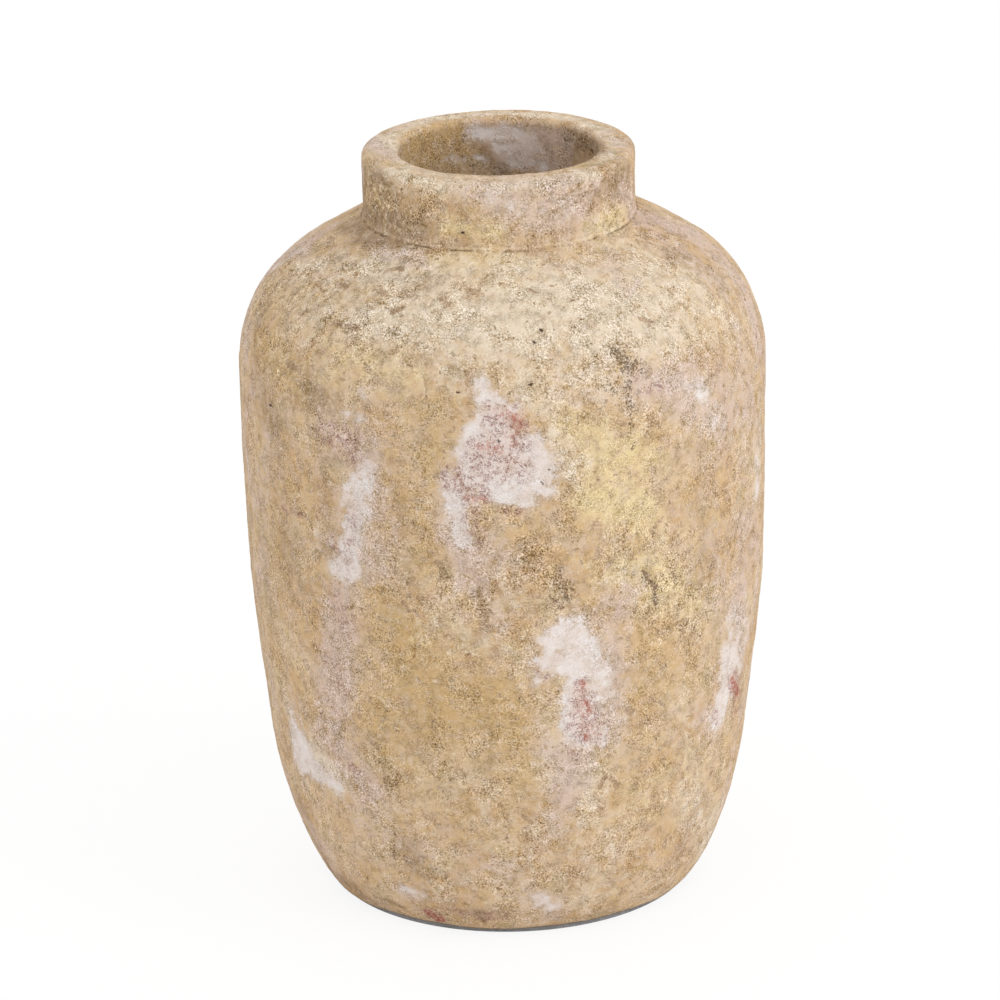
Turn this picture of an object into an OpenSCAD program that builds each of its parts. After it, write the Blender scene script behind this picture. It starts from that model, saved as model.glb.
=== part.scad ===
// Clay vase: a heavy hand-built earthenware jar with a thick collar neck.
// The wall stands on a clay floor slab and is built in four sections, each left to stiffen before
// the next is luted on with slip. A coat of earth covers the fired clay from the foot edge, over
// the lip and down the neck's bore, and a felt pad is glued under the foot. Millimetres, +Z up,
// origin on the table under the middle of the foot.

/* [Body] */
// Height from the table to the top of the lip
vase_h = 400; // [380:5:440]
// Radius of the body at its widest line
belly_r = 137.5; // [128:0.5:150]
// Height of the widest line above the table
belly_z = 277; // [262:1:292]
// Radius of the body where the rounded foot edge ends
foot_r = 100.5; // [96:0.5:110]
// Radius of the rounded edge round the foot
foot_round = 6.5; // [5:0.5:10]
// Lean of the wall outwards at the foot, in degrees from upright
foot_lean = 37.5; // [30:0.5:42]
// Fall of the shoulder where it leaves the neck, in degrees below level
shoulder_fall = 29; // [22:0.5:34]

/* [Neck] */
// Radius of the collar over its coat
neck_r = 71; // [66:0.5:78]
// Height of the collar above the shoulder
neck_h = 35.5; // [28:0.5:46]
// Radius of the neck's bore inside its coat
bore_r = 51.5; // [46:0.5:55]
// Rounding of the lip's outer edge
lip_round = 5; // [3:0.5:7]
// Rounding of the lip's inner edge, at the mouth
mouth_round = 4; // [3:0.5:6]

/* [Clay] */
// Thickness of the body's clay wall
wall_t = 12; // [10:0.5:16]
// Thickness of the clay floor slab
floor_t = 16; // [14:0.5:22]
// Thickness of the earth coat over the clay
coat_t = 1.5; // [0.8:0.1:2.2]

/* [Luted joints] */
// Height of the foot section's rim, where the flank is luted on
foot_rim_z = 90; // [75:1:110]
// Height of the flank's rim, where the belly is luted on
flank_rim_z = 205; // [180:1:230]
// Height of the belly's rim, where the shoulder is luted on
belly_rim_z = 310; // [300:1:318]
// Width of the groove in a rim that takes the tongue above it
groove_w = 5; // [4:0.5:7]
// Depth of that groove
groove_d = 4; // [2:0.5:6]
// Thickness of the slip between two luted faces
slip_t = 1; // [0.6:0.1:1.5]
// Reach of the reinforcing coil across the floor
coil_w = 13; // [8:0.5:20]
// Reach of the reinforcing coil up the wall
coil_h = 15; // [8:0.5:24]

/* [Pad] */
// Thickness of the felt pad under the foot
pad_t = 2; // [1:0.5:4]
// Overhang of the pad past the flat of the foot
pad_over = 0.8; // [0:0.1:2]

/* [Hidden] */
$fn = 180;

// How full the outline's curves are: the reach of each curve's handle, as a share of its stretch
foot_handle_share = 0.2;
belly_down_share = 0.275;
belly_up_share = 0.625;
shoulder_handle_share = 0.69;

// Straight pieces that stand for each curve of the outline, and for each rounded edge
curve_steps = 22;
round_steps = 6;

fired_clay = "#b2674c";
dry_slip = "#9c523b";
earth = "#c9ab80";
grey_felt = "#85858a";

// Heights and radii that the pieces share
seat_z = vase_h - neck_h;
floor_z = pad_t + floor_t;
wall_z = floor_z + slip_t;
foot_flat_r = foot_r - foot_round * cos(foot_lean);
clay_neck_r = neck_r - coat_t;
clay_bore_r = bore_r + coat_t;
clay_seat_z = seat_z - coat_t * cos(shoulder_fall)
    + coat_t * (1 - sin(shoulder_fall)) * tan(shoulder_fall);

// A point of a cubic curve, and its outward normal, as [radius, height] pairs
function curve_at(a, b, c, d, t) =
    pow(1 - t, 3) * a + 3 * pow(1 - t, 2) * t * b + 3 * (1 - t) * t * t * c + pow(t, 3) * d;
function curve_way(a, b, c, d, t) =
    pow(1 - t, 2) * (b - a) + 2 * (1 - t) * t * (c - b) + t * t * (d - c);
function outward(way) = [way[1], -way[0]] / norm(way);
function curve(a, b, c, d, first) =
    [for (i = [first:curve_steps]) let (t = i / curve_steps)
        [curve_at(a, b, c, d, t), outward(curve_way(a, b, c, d, t))]];

// The coated outline, from the foot to under the collar, as [point, outward normal] pairs
foot_end = [foot_r, pad_t + foot_round * (1 - sin(foot_lean))];
belly = [belly_r, belly_z];
shoulder_end = [neck_r, seat_z];
up_from_foot = [sin(foot_lean), cos(foot_lean)];
down_shoulder = [cos(shoulder_fall), -sin(shoulder_fall)];
lower_rise = belly_z - foot_end[1];
upper_rise = seat_z - belly_z;
foot_arc = [for (i = [0:round_steps - 1])
    let (a = -90 + (90 - foot_lean) * i / round_steps, way = [cos(a), sin(a)])
        [[foot_flat_r, pad_t + foot_round] + foot_round * way, way]];
lower_curve = curve(foot_end, foot_end + foot_handle_share * lower_rise * up_from_foot,
    belly - [0, belly_down_share * lower_rise], belly, 0);
upper_curve = curve(belly, belly + [0, belly_up_share * upper_rise],
    shoulder_end + shoulder_handle_share * (belly_r - neck_r) * down_shoulder, shoulder_end, 1);
under_collar = [[shoulder_end - neck_r * down_shoulder, outward(-down_shoulder)]];
wall_line = concat(lower_curve, upper_curve, under_collar);

// The outline moved inwards by depth, as a table of [height, radius]
function skin(line, depth) =
    [for (p = line) [p[0][1] - depth * p[1][1], p[0][0] - depth * p[1][0]]];
coat_face = skin(concat(foot_arc, wall_line), 0);
clay_face = skin(concat(foot_arc, wall_line), coat_t);
hollow_face = skin(wall_line, coat_t + wall_t);

// The stretch of such a table from height a up to height b, as [radius, height] points
function stretch(face, a, b) = concat([[lookup(a, face), a]],
    [for (p = face) if (p[0] > a && p[0] < b) [p[1], p[0]]], [[lookup(b, face), b]]);
function reversed(line) = [for (i = [len(line) - 1:-1:0]) line[i]];

// A luted joint on a rim from radius outer to radius inner: the rim's groove, and the tongue that
// the next piece has slip_t above it, both drawn from the outside inwards
function groove(z, outer, inner) = let (mid = (outer + inner) / 2, half = groove_w / 2)
    [[mid + half, z], [mid + half, z - groove_d], [mid - half, z - groove_d], [mid - half, z]];
function tongue(z, outer, inner) =
    let (mid = (outer + inner) / 2, half = groove_w / 2 - slip_t, top = z + slip_t)
    [[mid + half, top], [mid + half, top - groove_d],
        [mid - half, top - groove_d], [mid - half, top]];

// A quarter-round edge about centre, from angle a to angle b
function rounded(centre, r, a, b) = [for (i = [0:round_steps])
    let (angle = a + (b - a) * i / round_steps) centre + r * [cos(angle), sin(angle)]];

// The clay radii at a rim of the body, and the rim's groove and tongue
function rim(z) = [lookup(z, clay_face), lookup(z, hollow_face)];
function rim_groove(z) = groove(z, rim(z)[0], rim(z)[1]);
function rim_tongue(z) = tongue(z, rim(z)[0], rim(z)[1]);

// The clay slab that the wall stands on
module floor_disc() {
    color(fired_clay) rotate_extrude() polygon(concat([[0, pad_t], [foot_flat_r, pad_t]],
        stretch(clay_face, pad_t + coat_t, floor_z), [[0, floor_z]]));
}

// Slip between the floor slab and the wall's foot
module floor_slip() {
    color(dry_slip) rotate_extrude() polygon(concat(stretch(clay_face, floor_z, wall_z),
        reversed(stretch(hollow_face, floor_z, wall_z))));
}

// The coil of clay worked into the corner between floor and wall, with its hollow inner face
module floor_coil() {
    corner = [lookup(floor_z, hollow_face), floor_z];
    wall_side = stretch(hollow_face, floor_z, floor_z + coil_h);
    top = wall_side[len(wall_side) - 1];
    worked = [for (i = [1:round_steps]) let (t = i / round_steps)
        pow(1 - t, 2) * top + 2 * (1 - t) * t * corner + t * t * (corner - [coil_w, 0])];
    color(fired_clay) rotate_extrude() polygon(concat(wall_side, worked));
}

// The body's lowest section, from the floor to its grooved rim
module foot_wall() {
    color(fired_clay) rotate_extrude() polygon(concat(stretch(clay_face, wall_z, foot_rim_z),
        rim_groove(foot_rim_z), reversed(stretch(hollow_face, wall_z, foot_rim_z))));
}

// A section of the body between two rims: its tongue in the rim at low, and its own rim at high
module wall_section(low, high) {
    color(fired_clay) rotate_extrude() polygon(concat(stretch(clay_face, low + slip_t, high),
        rim_groove(high), reversed(stretch(hollow_face, low + slip_t, high)),
        reversed(rim_tongue(low))));
}

// Slip that fills the joint over the rim at height z
module rim_slip(z) {
    color(dry_slip) rotate_extrude() polygon(concat([[rim(z)[0], z]], rim_groove(z),
        stretch(hollow_face, z, z + slip_t), reversed(rim_tongue(z)),
        [[lookup(z + slip_t, clay_face), z + slip_t]]));
}

// The joints and sections above the foot section, from below upwards
module flank_slip() { rim_slip(foot_rim_z); }
module flank_wall() { wall_section(foot_rim_z, flank_rim_z); }
module belly_slip() { rim_slip(flank_rim_z); }
module belly_wall() { wall_section(flank_rim_z, belly_rim_z); }
module shoulder_slip() { rim_slip(belly_rim_z); }

// The height at which the hollow narrows to radius r, on its way up to the neck
function hollow_height(r) =
    lookup(-r, [for (p = hollow_face) if (p[0] > belly_z) [-p[1], p[0]]]);

// The body's top section, from its tongue over the shoulder to the neck's grooved seat
module shoulder_wall() {
    low = belly_rim_z + slip_t;
    color(fired_clay) rotate_extrude() polygon(concat(stretch(clay_face, low, clay_seat_z),
        groove(clay_seat_z, clay_neck_r, clay_bore_r), [[clay_bore_r, clay_seat_z]],
        reversed(stretch(hollow_face, low, hollow_height(clay_bore_r))),
        reversed(rim_tongue(belly_rim_z))));
}

// Slip under the collar
module neck_slip() {
    color(dry_slip) rotate_extrude() polygon(concat([[clay_neck_r, clay_seat_z]],
        groove(clay_seat_z, clay_neck_r, clay_bore_r),
        [[clay_bore_r, clay_seat_z], [clay_bore_r, clay_seat_z + slip_t]],
        reversed(tongue(clay_seat_z, clay_neck_r, clay_bore_r)),
        [[clay_neck_r, clay_seat_z + slip_t]]));
}

// The lip's outline over a collar from radius outer to radius inner, from the outside inwards
function lip(outer, inner, top, round_out, round_in) = concat(
    rounded([outer - round_out, top - round_out], round_out, 0, 90),
    rounded([inner + round_in, top - round_in], round_in, 90, 180));

// The thick clay collar, with its tongue in the shoulder's seat
module neck_collar() {
    foot_z = clay_seat_z + slip_t;
    color(fired_clay) rotate_extrude() polygon(concat([[clay_neck_r, foot_z]],
        lip(clay_neck_r, clay_bore_r, vase_h - coat_t, lip_round - coat_t, mouth_round - coat_t),
        [[clay_bore_r, foot_z]], reversed(tongue(clay_seat_z, clay_neck_r, clay_bore_r))));
}

// The earth coat on the body, from the foot edge to the collar
module body_coat() {
    color(earth) rotate_extrude() polygon(concat(stretch(coat_face, pad_t, seat_z),
        reversed(stretch(clay_face, pad_t + coat_t, clay_seat_z))));
}

// The earth coat on the collar, over the lip and down the bore
module neck_coat() {
    color(earth) rotate_extrude() polygon(concat([[neck_r, seat_z]],
        lip(neck_r, bore_r, vase_h, lip_round, mouth_round),
        [[bore_r, clay_seat_z], [clay_bore_r, clay_seat_z]],
        reversed(lip(clay_neck_r, clay_bore_r, vase_h - coat_t, lip_round - coat_t,
            mouth_round - coat_t)),
        [[clay_neck_r, clay_seat_z]]));
}

// The felt pad glued under the foot
module base_pad() {
    color(grey_felt) cylinder(r = foot_flat_r + pad_over, h = pad_t);
}

floor_disc();
floor_slip();
floor_coil();
foot_wall();
flank_slip();
flank_wall();
belly_slip();
belly_wall();
shoulder_slip();
shoulder_wall();
neck_slip();
neck_collar();
body_coat();
neck_coat();
base_pad();
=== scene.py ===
# %% [markdown]
# # A weathered clay vase
# The real vase is a heavy hand-built jar. Its fired clay is hidden under a coat of sandy earth, and
# under that earth lies a white lime ground. Where hands and water have worn the earth away, the
# white ground shows, and where the ground has gone too, the pink clay does. The CAD model has every
# solid piece at its real size. This script gives the pieces that show their surface.

# %% Load the frame
import math
import random

import bpy
import numpy as np
from mathutils import Matrix, Vector
from mathutils.bvhtree import BVHTree


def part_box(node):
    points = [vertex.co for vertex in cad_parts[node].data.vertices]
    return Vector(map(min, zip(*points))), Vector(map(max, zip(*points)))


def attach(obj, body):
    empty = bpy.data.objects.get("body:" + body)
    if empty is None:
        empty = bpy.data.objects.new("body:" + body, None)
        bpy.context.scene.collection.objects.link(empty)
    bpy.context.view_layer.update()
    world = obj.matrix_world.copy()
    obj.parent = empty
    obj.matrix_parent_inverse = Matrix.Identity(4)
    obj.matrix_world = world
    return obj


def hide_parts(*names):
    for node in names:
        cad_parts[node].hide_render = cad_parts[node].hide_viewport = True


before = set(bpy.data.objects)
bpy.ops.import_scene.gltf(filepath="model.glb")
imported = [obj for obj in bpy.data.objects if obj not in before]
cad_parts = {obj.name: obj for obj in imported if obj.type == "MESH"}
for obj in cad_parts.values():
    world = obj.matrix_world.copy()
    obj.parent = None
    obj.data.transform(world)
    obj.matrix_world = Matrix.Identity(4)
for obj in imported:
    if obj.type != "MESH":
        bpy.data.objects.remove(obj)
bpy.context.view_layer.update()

print("CAD nodes:", ", ".join(sorted(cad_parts)))

# %% [markdown]
# ## The camera
# The camera comes first, because the worn patches are placed by where they show in the
# photograph. It stands a good two and a half metres away with a long lens and looks down at the
# vase, so that the mouth shows as an ellipse. Its numbers come from fitting the pot's outline to
# the edge in the photograph.

# %% Camera
photo_side_px = 1000
focal_length_px = 5338
camera_back = 2.6435
camera_height = 1.1652
camera_pitch = math.radians(19.954)
camera_yaw = math.radians(-0.059)
camera_roll = math.radians(-1.186)
farthest_seen = 50

camera_place = Vector((0, -camera_back, camera_height))
view_forward = Vector((math.sin(camera_yaw) * math.cos(camera_pitch),
                       math.cos(camera_yaw) * math.cos(camera_pitch),
                       -math.sin(camera_pitch)))
level_right = Vector((math.cos(camera_yaw), -math.sin(camera_yaw), 0))
level_up = level_right.cross(view_forward)
view_right = math.cos(camera_roll) * level_right + math.sin(camera_roll) * level_up
view_up = math.cos(camera_roll) * level_up - math.sin(camera_roll) * level_right


def placed(name, data):
    """An object made from its data and put in the scene."""
    obj = bpy.data.objects.new(name, data)
    bpy.context.scene.collection.objects.link(obj)
    return obj


camera_data = bpy.data.cameras.new("photo_camera")
camera_data.sensor_fit = "HORIZONTAL"
camera_data.lens = focal_length_px / photo_side_px * camera_data.sensor_width
camera_data.clip_end = farthest_seen
camera = placed("photo_camera", camera_data)
axes = Matrix((view_right, view_up, -view_forward)).transposed()
camera.matrix_world = Matrix.Translation(camera_place) @ axes.to_4x4()
bpy.context.scene.camera = camera
print("lens:", round(camera_data.lens, 1), "mm")

# %% [markdown]
# ## The outline
# A turned pot is one line swung round an axis. The line is read from the CAD coat itself, so the
# two can never disagree: the outer face is where the triangles look away from the axis. The CAD
# line has a point every few millimetres, and a smooth curve is drawn through them.

# %% Outline of the body
mm = 0.001
outward_limit = 0.02
nearly_nothing = 1e-12
height_digits = 6


def numbers_of(items, name, width=1, kind=float):
    """One value, or one vector, from each of a mesh's points, corners or faces."""
    values = np.zeros(len(items) * width, kind)
    items.foreach_get(name, values)
    return values.reshape(-1, width) if width > 1 else values


def outer_line(node):
    """The (radius, height) points of a turned node's outer face, from below upwards."""
    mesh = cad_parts[node].data
    mesh.calc_loop_triangles()
    triangles = numbers_of(mesh.loop_triangles, "vertices", 3, int)
    points = numbers_of(mesh.vertices, "co", 3)[triangles]
    facing = np.cross(points[:, 1] - points[:, 0], points[:, 2] - points[:, 0])
    facing /= np.maximum(np.linalg.norm(facing, axis=1, keepdims=True), nearly_nothing)
    middle = points.mean(1)
    away = (facing[:, :2] * middle[:, :2]).sum(1) / np.hypot(middle[:, 0], middle[:, 1])
    outside = points[away > outward_limit].reshape(-1, 3)
    heights = np.round(outside[:, 2], height_digits)
    rings = np.unique(heights)
    radii = np.array([np.hypot(*outside[heights == z, :2].T).max() for z in rings])
    return np.stack([radii, rings], 1)


def even_places(points, spacing):
    """How far along a line its points lie, and where points at an even spacing would lie."""
    marks = np.concatenate([[0], np.cumsum(np.linalg.norm(np.diff(points, axis=0), axis=1))])
    return marks, np.linspace(0, marks[-1], int(round(marks[-1] / spacing)) + 1)


def smooth_through(points, spacing):
    """Points at an even spacing on a smooth curve through the given ones."""
    marks, wanted = even_places(points, spacing)
    slopes = np.gradient(points, marks, axis=0)
    piece = np.clip(np.searchsorted(marks, wanted, side="right") - 1, 0, len(marks) - 2)
    span = (marks[piece + 1] - marks[piece])[:, None]
    t = (wanted - marks[piece])[:, None] / span
    start, end = points[piece], points[piece + 1]
    leave, arrive = slopes[piece] * span, slopes[piece + 1] * span
    return ((2 * t**3 - 3 * t**2 + 1) * start + (t**3 - 2 * t**2 + t) * leave
            + (3 * t**2 - 2 * t**3) * end + (t**3 - t**2) * arrive)


ring_spacing = 0.95 * mm
body_line = smooth_through(outer_line("body_coat"), ring_spacing)
print("body outline:", len(body_line), "points, widest radius", round(body_line[:, 0].max(), 4))

# %% [markdown]
# The collar's line goes up its outside, over the rounded lip and down the bore. Reading it as above
# would miss the bore, whose face looks towards the axis, so its arcs and straight stretches are
# written out, with the radius and the height of the CAD coat.

# %% Outline of the neck
neck_low, neck_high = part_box("neck_coat")
neck_radius = neck_high.x
vase_height = neck_high.z
seat_height = body_line[-1, 1]
bore_radius = 51.5 * mm
lip_round = 5 * mm
mouth_round = 4 * mm
coat_thickness = 1.5 * mm
points_on_round = 12
neck_spacing = 0.75 * mm


def arc(centre, radius, first, last):
    """Points on a round edge, between two angles in degrees."""
    angles = np.radians(np.linspace(first, last, points_on_round))
    return np.array(centre) + radius * np.stack([np.cos(angles), np.sin(angles)], 1)


neck_corners = np.concatenate([
    [[neck_radius, seat_height]],
    arc((neck_radius - lip_round, vase_height - lip_round), lip_round, 0, 90),
    arc((bore_radius + mouth_round, vase_height - mouth_round), mouth_round, 90, 180),
    [[bore_radius, neck_low.z]],
])
corner_marks, even_marks = even_places(neck_corners, neck_spacing)
neck_line = np.stack([np.interp(even_marks, corner_marks, side) for side in neck_corners.T], 1)
print("neck outline:", len(neck_line), "points")

# %% [markdown]
# ## Helpers for node trees
# Both trees of Geometry Nodes and all the materials are put together from these few steps. Such
# trees could be drawn by hand in the node editor, but written out they can be read and changed
# line by line, and a helper for each common node keeps the lines short.

# %% Adding and linking nodes


def connect(tree, value, socket):
    """Links a socket to an input, or writes a plain value into it."""
    if isinstance(value, bpy.types.NodeSocket):
        tree.links.new(value, socket)
    else:
        socket.default_value = value


def add(tree, kind, options=None, **inputs):
    """Adds a node, sets its options, and fills or links its inputs by name."""
    made = tree.nodes.new(kind)
    for name, value in (options or {}).items():
        setattr(made, name, value)
    for name, value in inputs.items():
        connect(tree, value, made.inputs[name.replace("_", " ")])
    return made


def worked_out(tree, kind, operation, *values):
    """The result of a Math or Vector Math node for one, two or three values."""
    made = add(tree, kind, {"operation": operation})
    for value, socket in zip(values, made.inputs):
        connect(tree, value, socket)
    return made.outputs[0]


def math_node(tree, operation, *values):
    """A Math node's result."""
    return worked_out(tree, "ShaderNodeMath", operation, *values)


def vector_node(tree, operation, *values):
    """A Vector Math node's result."""
    return worked_out(tree, "ShaderNodeVectorMath", operation, *values)


def axes_of(tree, vector):
    """The three parts of a vector."""
    return add(tree, "ShaderNodeSeparateXYZ", Vector=vector).outputs


# %% Sums, products and soft steps


def total(tree, *values):
    """The sum of several values."""
    result = values[0]
    for value in values[1:]:
        result = math_node(tree, "ADD", result, value)
    return result


def times(tree, *values):
    """The product of several values."""
    result = values[0]
    for value in values[1:]:
        result = math_node(tree, "MULTIPLY", result, value)
    return result


def less(tree, value, taken):
    """A value with another one taken from it."""
    return math_node(tree, "SUBTRACT", value, taken)


def sloped(tree, value, slope, start):
    """A straight rise: the value times a slope, added to a start."""
    return math_node(tree, "MULTIPLY_ADD", value, slope, start)


def eased(tree, value, low, high):
    """0 below low, 1 above high, and a soft rise between them."""
    made = add(tree, "ShaderNodeMapRange", {"interpolation_type": "SMOOTHSTEP"}, Value=value,
               From_Min=low, From_Max=high)
    return made.outputs["Result"]


# %% Whole trees and kept values


def new_tree(name, kind, inputs, outputs):
    """A node tree with named sockets, and its input and output nodes."""
    tree = bpy.data.node_groups.new(name, kind)
    sockets = {}
    for label, (socket_kind, value) in inputs.items():
        socket = tree.interface.new_socket(label, in_out="INPUT", socket_type=socket_kind)
        if value is not None:
            socket.default_value = value
        sockets[label] = socket.identifier
    for label, socket_kind in outputs.items():
        tree.interface.new_socket(label, in_out="OUTPUT", socket_type=socket_kind)
    start = tree.nodes.new("NodeGroupInput")
    end = tree.nodes.new("NodeGroupOutput")
    return tree, start.outputs, end.inputs, sockets


def shape_tree(name, inputs):
    """A tree that makes a shape and gives it a material, to be run as a modifier."""
    tree, start, end, sockets = new_tree(
        name, "GeometryNodeTree", {**inputs, "Material": ("NodeSocketMaterial", None)},
        {"Geometry": "NodeSocketGeometry"})
    tree.is_modifier = True
    return tree, start, end, sockets


def hand_out(tree, geometry, start, end):
    """The last steps of a shape's tree: real geometry with the material on it."""
    real = add(tree, "GeometryNodeRealizeInstances", Geometry=geometry).outputs["Geometry"]
    finished = add(tree, "GeometryNodeSetMaterial", Geometry=real, Material=start["Material"])
    connect(tree, finished.outputs["Geometry"], end["Geometry"])


def kept(tree, name, kind="FLOAT"):
    """A value that the points keep under a name."""
    return add(tree, "GeometryNodeInputNamedAttribute", {"data_type": kind},
               Name=name).outputs["Attribute"]


def stored(tree, geometry, name, kind, value):
    """The geometry with a value kept on its points under a name."""
    made = add(tree, "GeometryNodeStoreNamedAttribute", {"data_type": kind, "domain": "POINT"},
               Geometry=geometry, Name=name, Value=value)
    return made.outputs["Geometry"]


# %% [markdown]
# ## Turning the line
# A lathe in Geometry Nodes: a grid is wrapped so that its columns go round the axis and its rows
# follow the outline. Each row looks its place up in the outline by its index. The outline is a
# closed loop, out along the face and back along the clay, so the skin that comes out is closed
# too. The Screw modifier could turn the line as well. Nodes were chosen because they also hand on
# which way is outwards, as the wear is pressed in that way later, and a smooth random direction
# that makes the edges of worn patches wander.

# %% The lathe
wander_size = 13 * mm
weld_distance = 1e-6


def sampled(tree, line, name, kind, row):
    """A value that the outline keeps under a name, looked up by row."""
    look = add(tree, "GeometryNodeSampleIndex", {"data_type": kind, "domain": "POINT"},
               Geometry=line, Value=kept(tree, name, kind), Index=row)
    return look.outputs["Value"]


def swung(tree, vector, turn):
    """A (radius, 0, height) vector swung round the axis, with turn 0 towards the viewer."""
    parts = axes_of(tree, vector)
    across = times(tree, parts["X"], math_node(tree, "SINE", turn))
    back = times(tree, parts["X"], math_node(tree, "COSINE", turn), -1.0)
    return add(tree, "ShaderNodeCombineXYZ", X=across, Y=back, Z=parts["Z"]).outputs[0]


def lathe_tree():
    """The lathe: an outline in, a closed turned skin out."""
    tree, start, end, sockets = shape_tree(
        "lathe", {"Outline": ("NodeSocketGeometry", None), "Steps Around": ("NodeSocketInt", 720)})
    line = start["Outline"]
    count = add(tree, "GeometryNodeAttributeDomainSize", {"component": "MESH"},
                Geometry=line).outputs["Point Count"]
    columns = total(tree, start["Steps Around"], 1.0)
    rows = total(tree, count, 1.0)
    grid = add(tree, "GeometryNodeMeshGrid", Size_X=1.0, Size_Y=1.0, Vertices_X=columns,
               Vertices_Y=rows).outputs["Mesh"]
    here = add(tree, "GeometryNodeInputPosition").outputs[0]
    place = axes_of(tree, here)
    share = total(tree, place["Y"], 0.5)
    row_count = math_node(tree, "ROUND", times(tree, share, count))
    grid = stored(tree, grid, "turn", "FLOAT", times(tree, place["X"], 2 * math.pi))
    grid = stored(tree, grid, "row", "FLOAT", math_node(tree, "MODULO", row_count, count))
    turn, row = kept(tree, "turn"), kept(tree, "row")
    spot = sampled(tree, line, "spot", "FLOAT_VECTOR", row)
    outward = sampled(tree, line, "outward", "FLOAT_VECTOR", row)
    grid = add(tree, "GeometryNodeSetPosition", Geometry=grid,
               Position=swung(tree, spot, turn)).outputs["Geometry"]
    grid = stored(tree, grid, "outward", "FLOAT_VECTOR", swung(tree, outward, turn))
    wandering = add(tree, "ShaderNodeTexNoise", Vector=here, Scale=1 / wander_size, Detail=5.0,
                    Roughness=0.6).outputs["Color"]
    centred = vector_node(tree, "SUBTRACT", wandering, (0.5, 0.5, 0.5))
    grid = stored(tree, grid, "wander", "FLOAT_VECTOR", centred)
    for name in ("skin", "along"):
        grid = stored(tree, grid, name, "FLOAT", sampled(tree, line, name, "FLOAT", row))
    welded = add(tree, "GeometryNodeMergeByDistance", Geometry=grid, Distance=weld_distance)
    hand_out(tree, welded.outputs["Geometry"], start, end)
    return tree, sockets


lathe, lathe_inputs = lathe_tree()
print("lathe:", len(lathe.nodes), "nodes")

# %% Running a tree on a mesh
earth_coat = bpy.data.materials.new("sandy_earth_coat")


def apply_nodes(obj, tree, inputs, values):
    """Runs a shape's tree on an object and puts a plain mesh in its place."""
    modifier = obj.modifiers.new(tree.name, "NODES")
    modifier.node_group = tree
    modifier[inputs["Material"]] = earth_coat
    for label, value in values.items():
        modifier[inputs[label]] = value
    bpy.context.view_layer.update()
    seen = obj.evaluated_get(bpy.context.evaluated_depsgraph_get())
    mesh = bpy.data.meshes.new_from_object(seen)
    old = obj.data
    obj.modifiers.clear()
    obj.data = mesh
    bpy.data.meshes.remove(old)
    mesh.name = obj.name


def write(mesh, name, kind, values):
    """Keeps an array on a mesh's points under a name."""
    made = mesh.attributes.new(name, kind, "POINT")
    made.data.foreach_set("vector" if kind == "FLOAT_VECTOR" else "value",
                          np.ascontiguousarray(values, np.float32).ravel())


def read(mesh, name, width=1):
    """Reads an array that a mesh keeps under a name."""
    return numbers_of(mesh.attributes[name].data, "vector" if width == 3 else "value", width, np.float32)


def upright(line):
    """(radius, height) pairs as points or directions in the plane that the lathe swings."""
    return np.stack([line[:, 0], np.zeros(len(line)), line[:, 1]], 1)


def outward_of(line):
    """The outward direction at each point of a line, as (radius, height)."""
    way = np.gradient(line, axis=0)
    facing = np.stack([way[:, 1], -way[:, 0]], 1)
    return facing / np.linalg.norm(facing, axis=1, keepdims=True)


# %% [markdown]
# The body coat is far too finely meshed for one piece, so it is made as five bands. Neighbouring
# bands share a ring of points exactly, and everything that moves a point depends only on where the
# point is, so the bands meet without a gap. The collar's coat is a skin of its own, as on the real
# vase, where the collar was set on and coated separately.

# %% Body and neck skins
band_names = ["coat_foot", "coat_flank", "coat_belly", "coat_high", "coat_shoulder"]
body_steps_around = 900
neck_steps_around = 640
back_rings = 8
body_facing = outward_of(body_line)
body_marks = np.arange(len(body_line)) * ring_spacing
neck_facing = outward_of(neck_line)
neck_marks = np.arange(len(neck_line)) * neck_spacing
band_ends = np.linspace(0, len(body_line) - 1, len(band_names) + 1).round().astype(int)


def turned_skin(name, line, facing, marks, steps_around):
    """A closed skin: the line swung round the axis, with a back face the coat's thickness behind."""
    picked = np.round(np.linspace(len(line) - 1, 0, back_rings)).astype(int)
    loop = np.concatenate([line, line[picked] - coat_thickness * facing[picked]])
    mesh = bpy.data.meshes.new(name)
    mesh.from_pydata(upright(loop).tolist(), [], [])
    write(mesh, "spot", "FLOAT_VECTOR", upright(loop))
    write(mesh, "outward", "FLOAT_VECTOR", upright(np.concatenate([facing, facing[picked]])))
    write(mesh, "skin", "FLOAT", np.concatenate([np.ones(len(line)), np.zeros(len(picked))]))
    write(mesh, "along", "FLOAT", np.concatenate([marks, marks[picked]]))
    obj = placed(name, mesh)
    apply_nodes(obj, lathe, lathe_inputs, {"Steps Around": steps_around})
    return obj


skins = []
for band, first, last in zip(band_names, band_ends[:-1], band_ends[1:]):
    rows = slice(first, last + 1)
    skins.append(turned_skin(band, body_line[rows], body_facing[rows], body_marks[rows],
                             body_steps_around))
neck_skin = turned_skin("coat_neck", neck_line, neck_facing, neck_marks, neck_steps_around)
skins.append(neck_skin)
for skin in skins:
    print(skin.name, len(skin.data.vertices), "points")
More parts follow.
